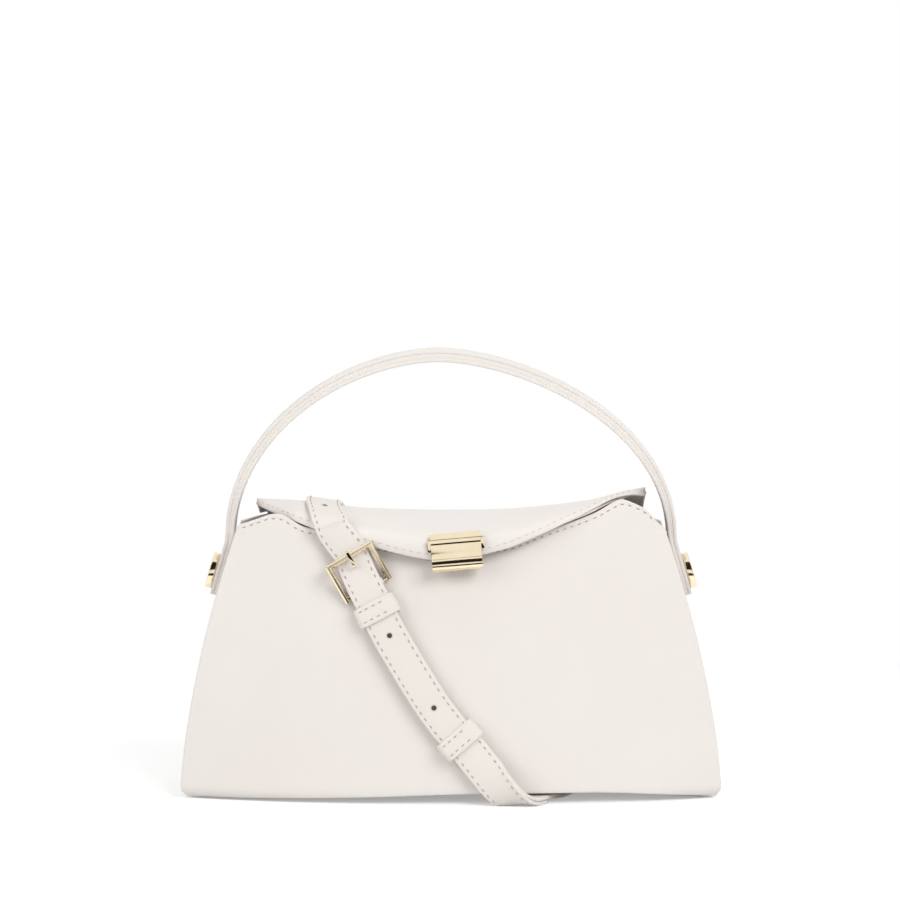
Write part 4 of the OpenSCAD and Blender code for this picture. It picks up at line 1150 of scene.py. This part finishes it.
def main_pieces():
    for side, word in ((-1, "front"), (1, "back")):
        panel(side, word + "_panel")
    for side, word in ((-1, "front"), (1, "back")):
        lining(side, word + "_lining")
    for side, word in ((-1, "left"), (1, "right")):
        gusset(side, "gusset_" + word)
        gusset(side, "gusset_lining_" + word, True)
        ring_tab(side, "ring_tab_" + word)
    base_sheet("base_panel", LEATHER_T, LEATHER_T, 0.4, [BODY], "leather")
    base_sheet("base_lining", 4.4, 0.6, 1.6, [LINING], "lining")
    flap_sheet("flap_leather", 0, FLAP_LAYER, [FLAP, PALE_THREAD], True, 0.999)
    flap_sheet("flap_lining", FLAP_T - FLAP_LAYER, FLAP_T, [FLAP, THREAD], False, 0.996)
    build_strap()
    heel_fold()
    hinge_fold()
    keeper("keeper_fixed", 95.4, "bag")
    keeper("keeper_slide", 32.3, "slider")
    buckle()
    prong()
    clasp()
    clasp_plates()
    handle_layer("handle_outer", 1)
    handle_layer("handle_inner", -1)
    handle_filler()
    studs()


main_pieces()

# CAD nodes that stay as they are get their materials
for node_name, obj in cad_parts.items():
    if "stiffener" in node_name or "board" in node_name:
        material = BOARD
    elif node_name in ("clasp_rivets", "clasp_magnet", "seat_magnet") or "nut" in node_name:
        material = STEEL
    else:
        material = GOLD
    obj.data.materials.clear()
    obj.data.materials.append(material)


# Floor, world and lamps
def cleared(block):
    """Empty node tree of a new material or world."""
    block.use_nodes = True
    block.node_tree.nodes.clear()
    return block.node_tree


def light_path(nt, *kinds):
    """Factor that is 1 for any of these kinds of ray."""
    path = nt.nodes.new("ShaderNodeLightPath")
    total = path.outputs[kinds[0]]
    for kind in kinds[1:]:
        total = add(nt, "Math", total, path.outputs[kind], operation="MAXIMUM").outputs[0]
    return total


def studio():
    """White world and a pale floor that fades to white away from the bag."""
    world = bpy.data.worlds.new("studio")
    bpy.context.scene.world = world
    nt = cleared(world)
    soft = add(nt, "Background", Color=(1, 1, 1, 1), Strength=0.39).outputs[0]
    white = add(nt, "Background", Color=(1, 1, 1, 1), Strength=1.0).outputs[0]
    seen = light_path(nt, "Is Camera Ray", "Is Glossy Ray", "Is Transmission Ray")
    add(nt, "OutputWorld", add(nt, "MixShader", seen, soft, white).outputs[0])

    floor_mat = bpy.data.materials.new("pale_floor")
    nt = cleared(floor_mat)
    matt = add(nt, "BsdfDiffuse", Color=(0.86, 0.86, 0.86, 1)).outputs[0]
    glow = add(nt, "Emission", Strength=0.32).outputs[0]
    near = add(nt, "AddShader", matt, glow).outputs[0]
    plain = add(nt, "Emission", Strength=1.0).outputs[0]
    reach = add(nt, "VectorMath", coords(nt), operation="LENGTH").outputs["Value"]
    fade = add(nt, "MapRange", reach, **{"From Min": 0.25, "From Max": 0.55}).outputs["Result"]
    shown = add(nt, "MixShader", fade, near, plain).outputs[0]
    seen = light_path(nt, "Is Camera Ray", "Is Glossy Ray")
    add(nt, "OutputMaterial", add(nt, "MixShader", seen, matt, shown).outputs[0])
    size = 12
    floor = mesh_object("floor", [(-size, -size, 0), (size, -size, 0), (size, size, 0),
                                  (-size, size, 0)], [(0, 1, 2, 3)], [floor_mat])


def aim(obj, place, target):
    obj.location = place
    obj.rotation_euler = (V(target) - V(place)).to_track_quat("-Z", "Y").to_euler()
    bpy.context.scene.collection.objects.link(obj)


def lamp(name, place, target, size, power):
    data = bpy.data.lights.new(name, "AREA")
    data.shape = "RECTANGLE"
    data.size, data.size_y = size
    data.energy = power
    obj = bpy.data.objects.new(name, data)
    obj.visible_glossy = False
    aim(obj, place, target)


def dark_card(name, shade, line):
    """Dark screen that only mirrors see, along a line of (y, z) from side to side."""
    m = bpy.data.materials.new(name)
    nt = cleared(m)
    add(nt, "OutputMaterial", add(nt, "Emission", Color=(*shade, 1)).outputs[0])
    points = [(x, y, z) for y, z in line for x in (-1.6, 1.6)]
    faces = [(n, n + 1, n + 3, n + 2) for n in range(0, 2 * len(line) - 2, 2)]
    card = mesh_object(name, points, faces, [m])
    for ray in ("camera", "diffuse", "shadow", "transmission"):
        setattr(card, "visible_" + ray, False)


studio()
CARD_R, CARD_STEPS = 1.1, 8
RISE = [math.radians(mix(9, 62, k / CARD_STEPS)) for k in range(CARD_STEPS + 1)]
dark_card("dark_card_high", (0.022, 0.016, 0.011),
          [(-CARD_R * math.cos(a), 0.12 + CARD_R * math.sin(a)) for a in RISE])
dark_card("dark_card_low", (0.03, 0.022, 0.014),
          [(mix(-0.2, -0.52, k / CARD_STEPS), 0.004) for k in range(CARD_STEPS + 1)])
lamp("key", (1.1, -1.5, 1.4), (0, 0, 0.08), (1.4, 1.0), 26.5)
lamp("fill", (-1.5, -1.2, 0.9), (0, 0, 0.08), (1.2, 1.2), 12.5)
lamp("top", (0, 0.1, 1.9), (0, 0, 0.1), (1.8, 1.4), 6)
lamp("back", (0.2, 1.6, 1.1), (0, 0, 0.1), (1.8, 1.0), 7)

# Camera at the photograph's place
SENSOR, LENS = 36, 156.9
CAMERA_AT = V((-0.5, -1992.6, 345.9)) * MM
LOOK_AT = V((-0.5, 0, 173.7)) * MM
camera_data = bpy.data.cameras.new("camera")
camera_data.sensor_width = SENSOR
camera_data.lens = LENS
camera = bpy.data.objects.new("camera", camera_data)
aim(camera, CAMERA_AT, LOOK_AT)
bpy.context.scene.camera = camera
bpy.context.scene.view_settings.view_transform = "Standard"
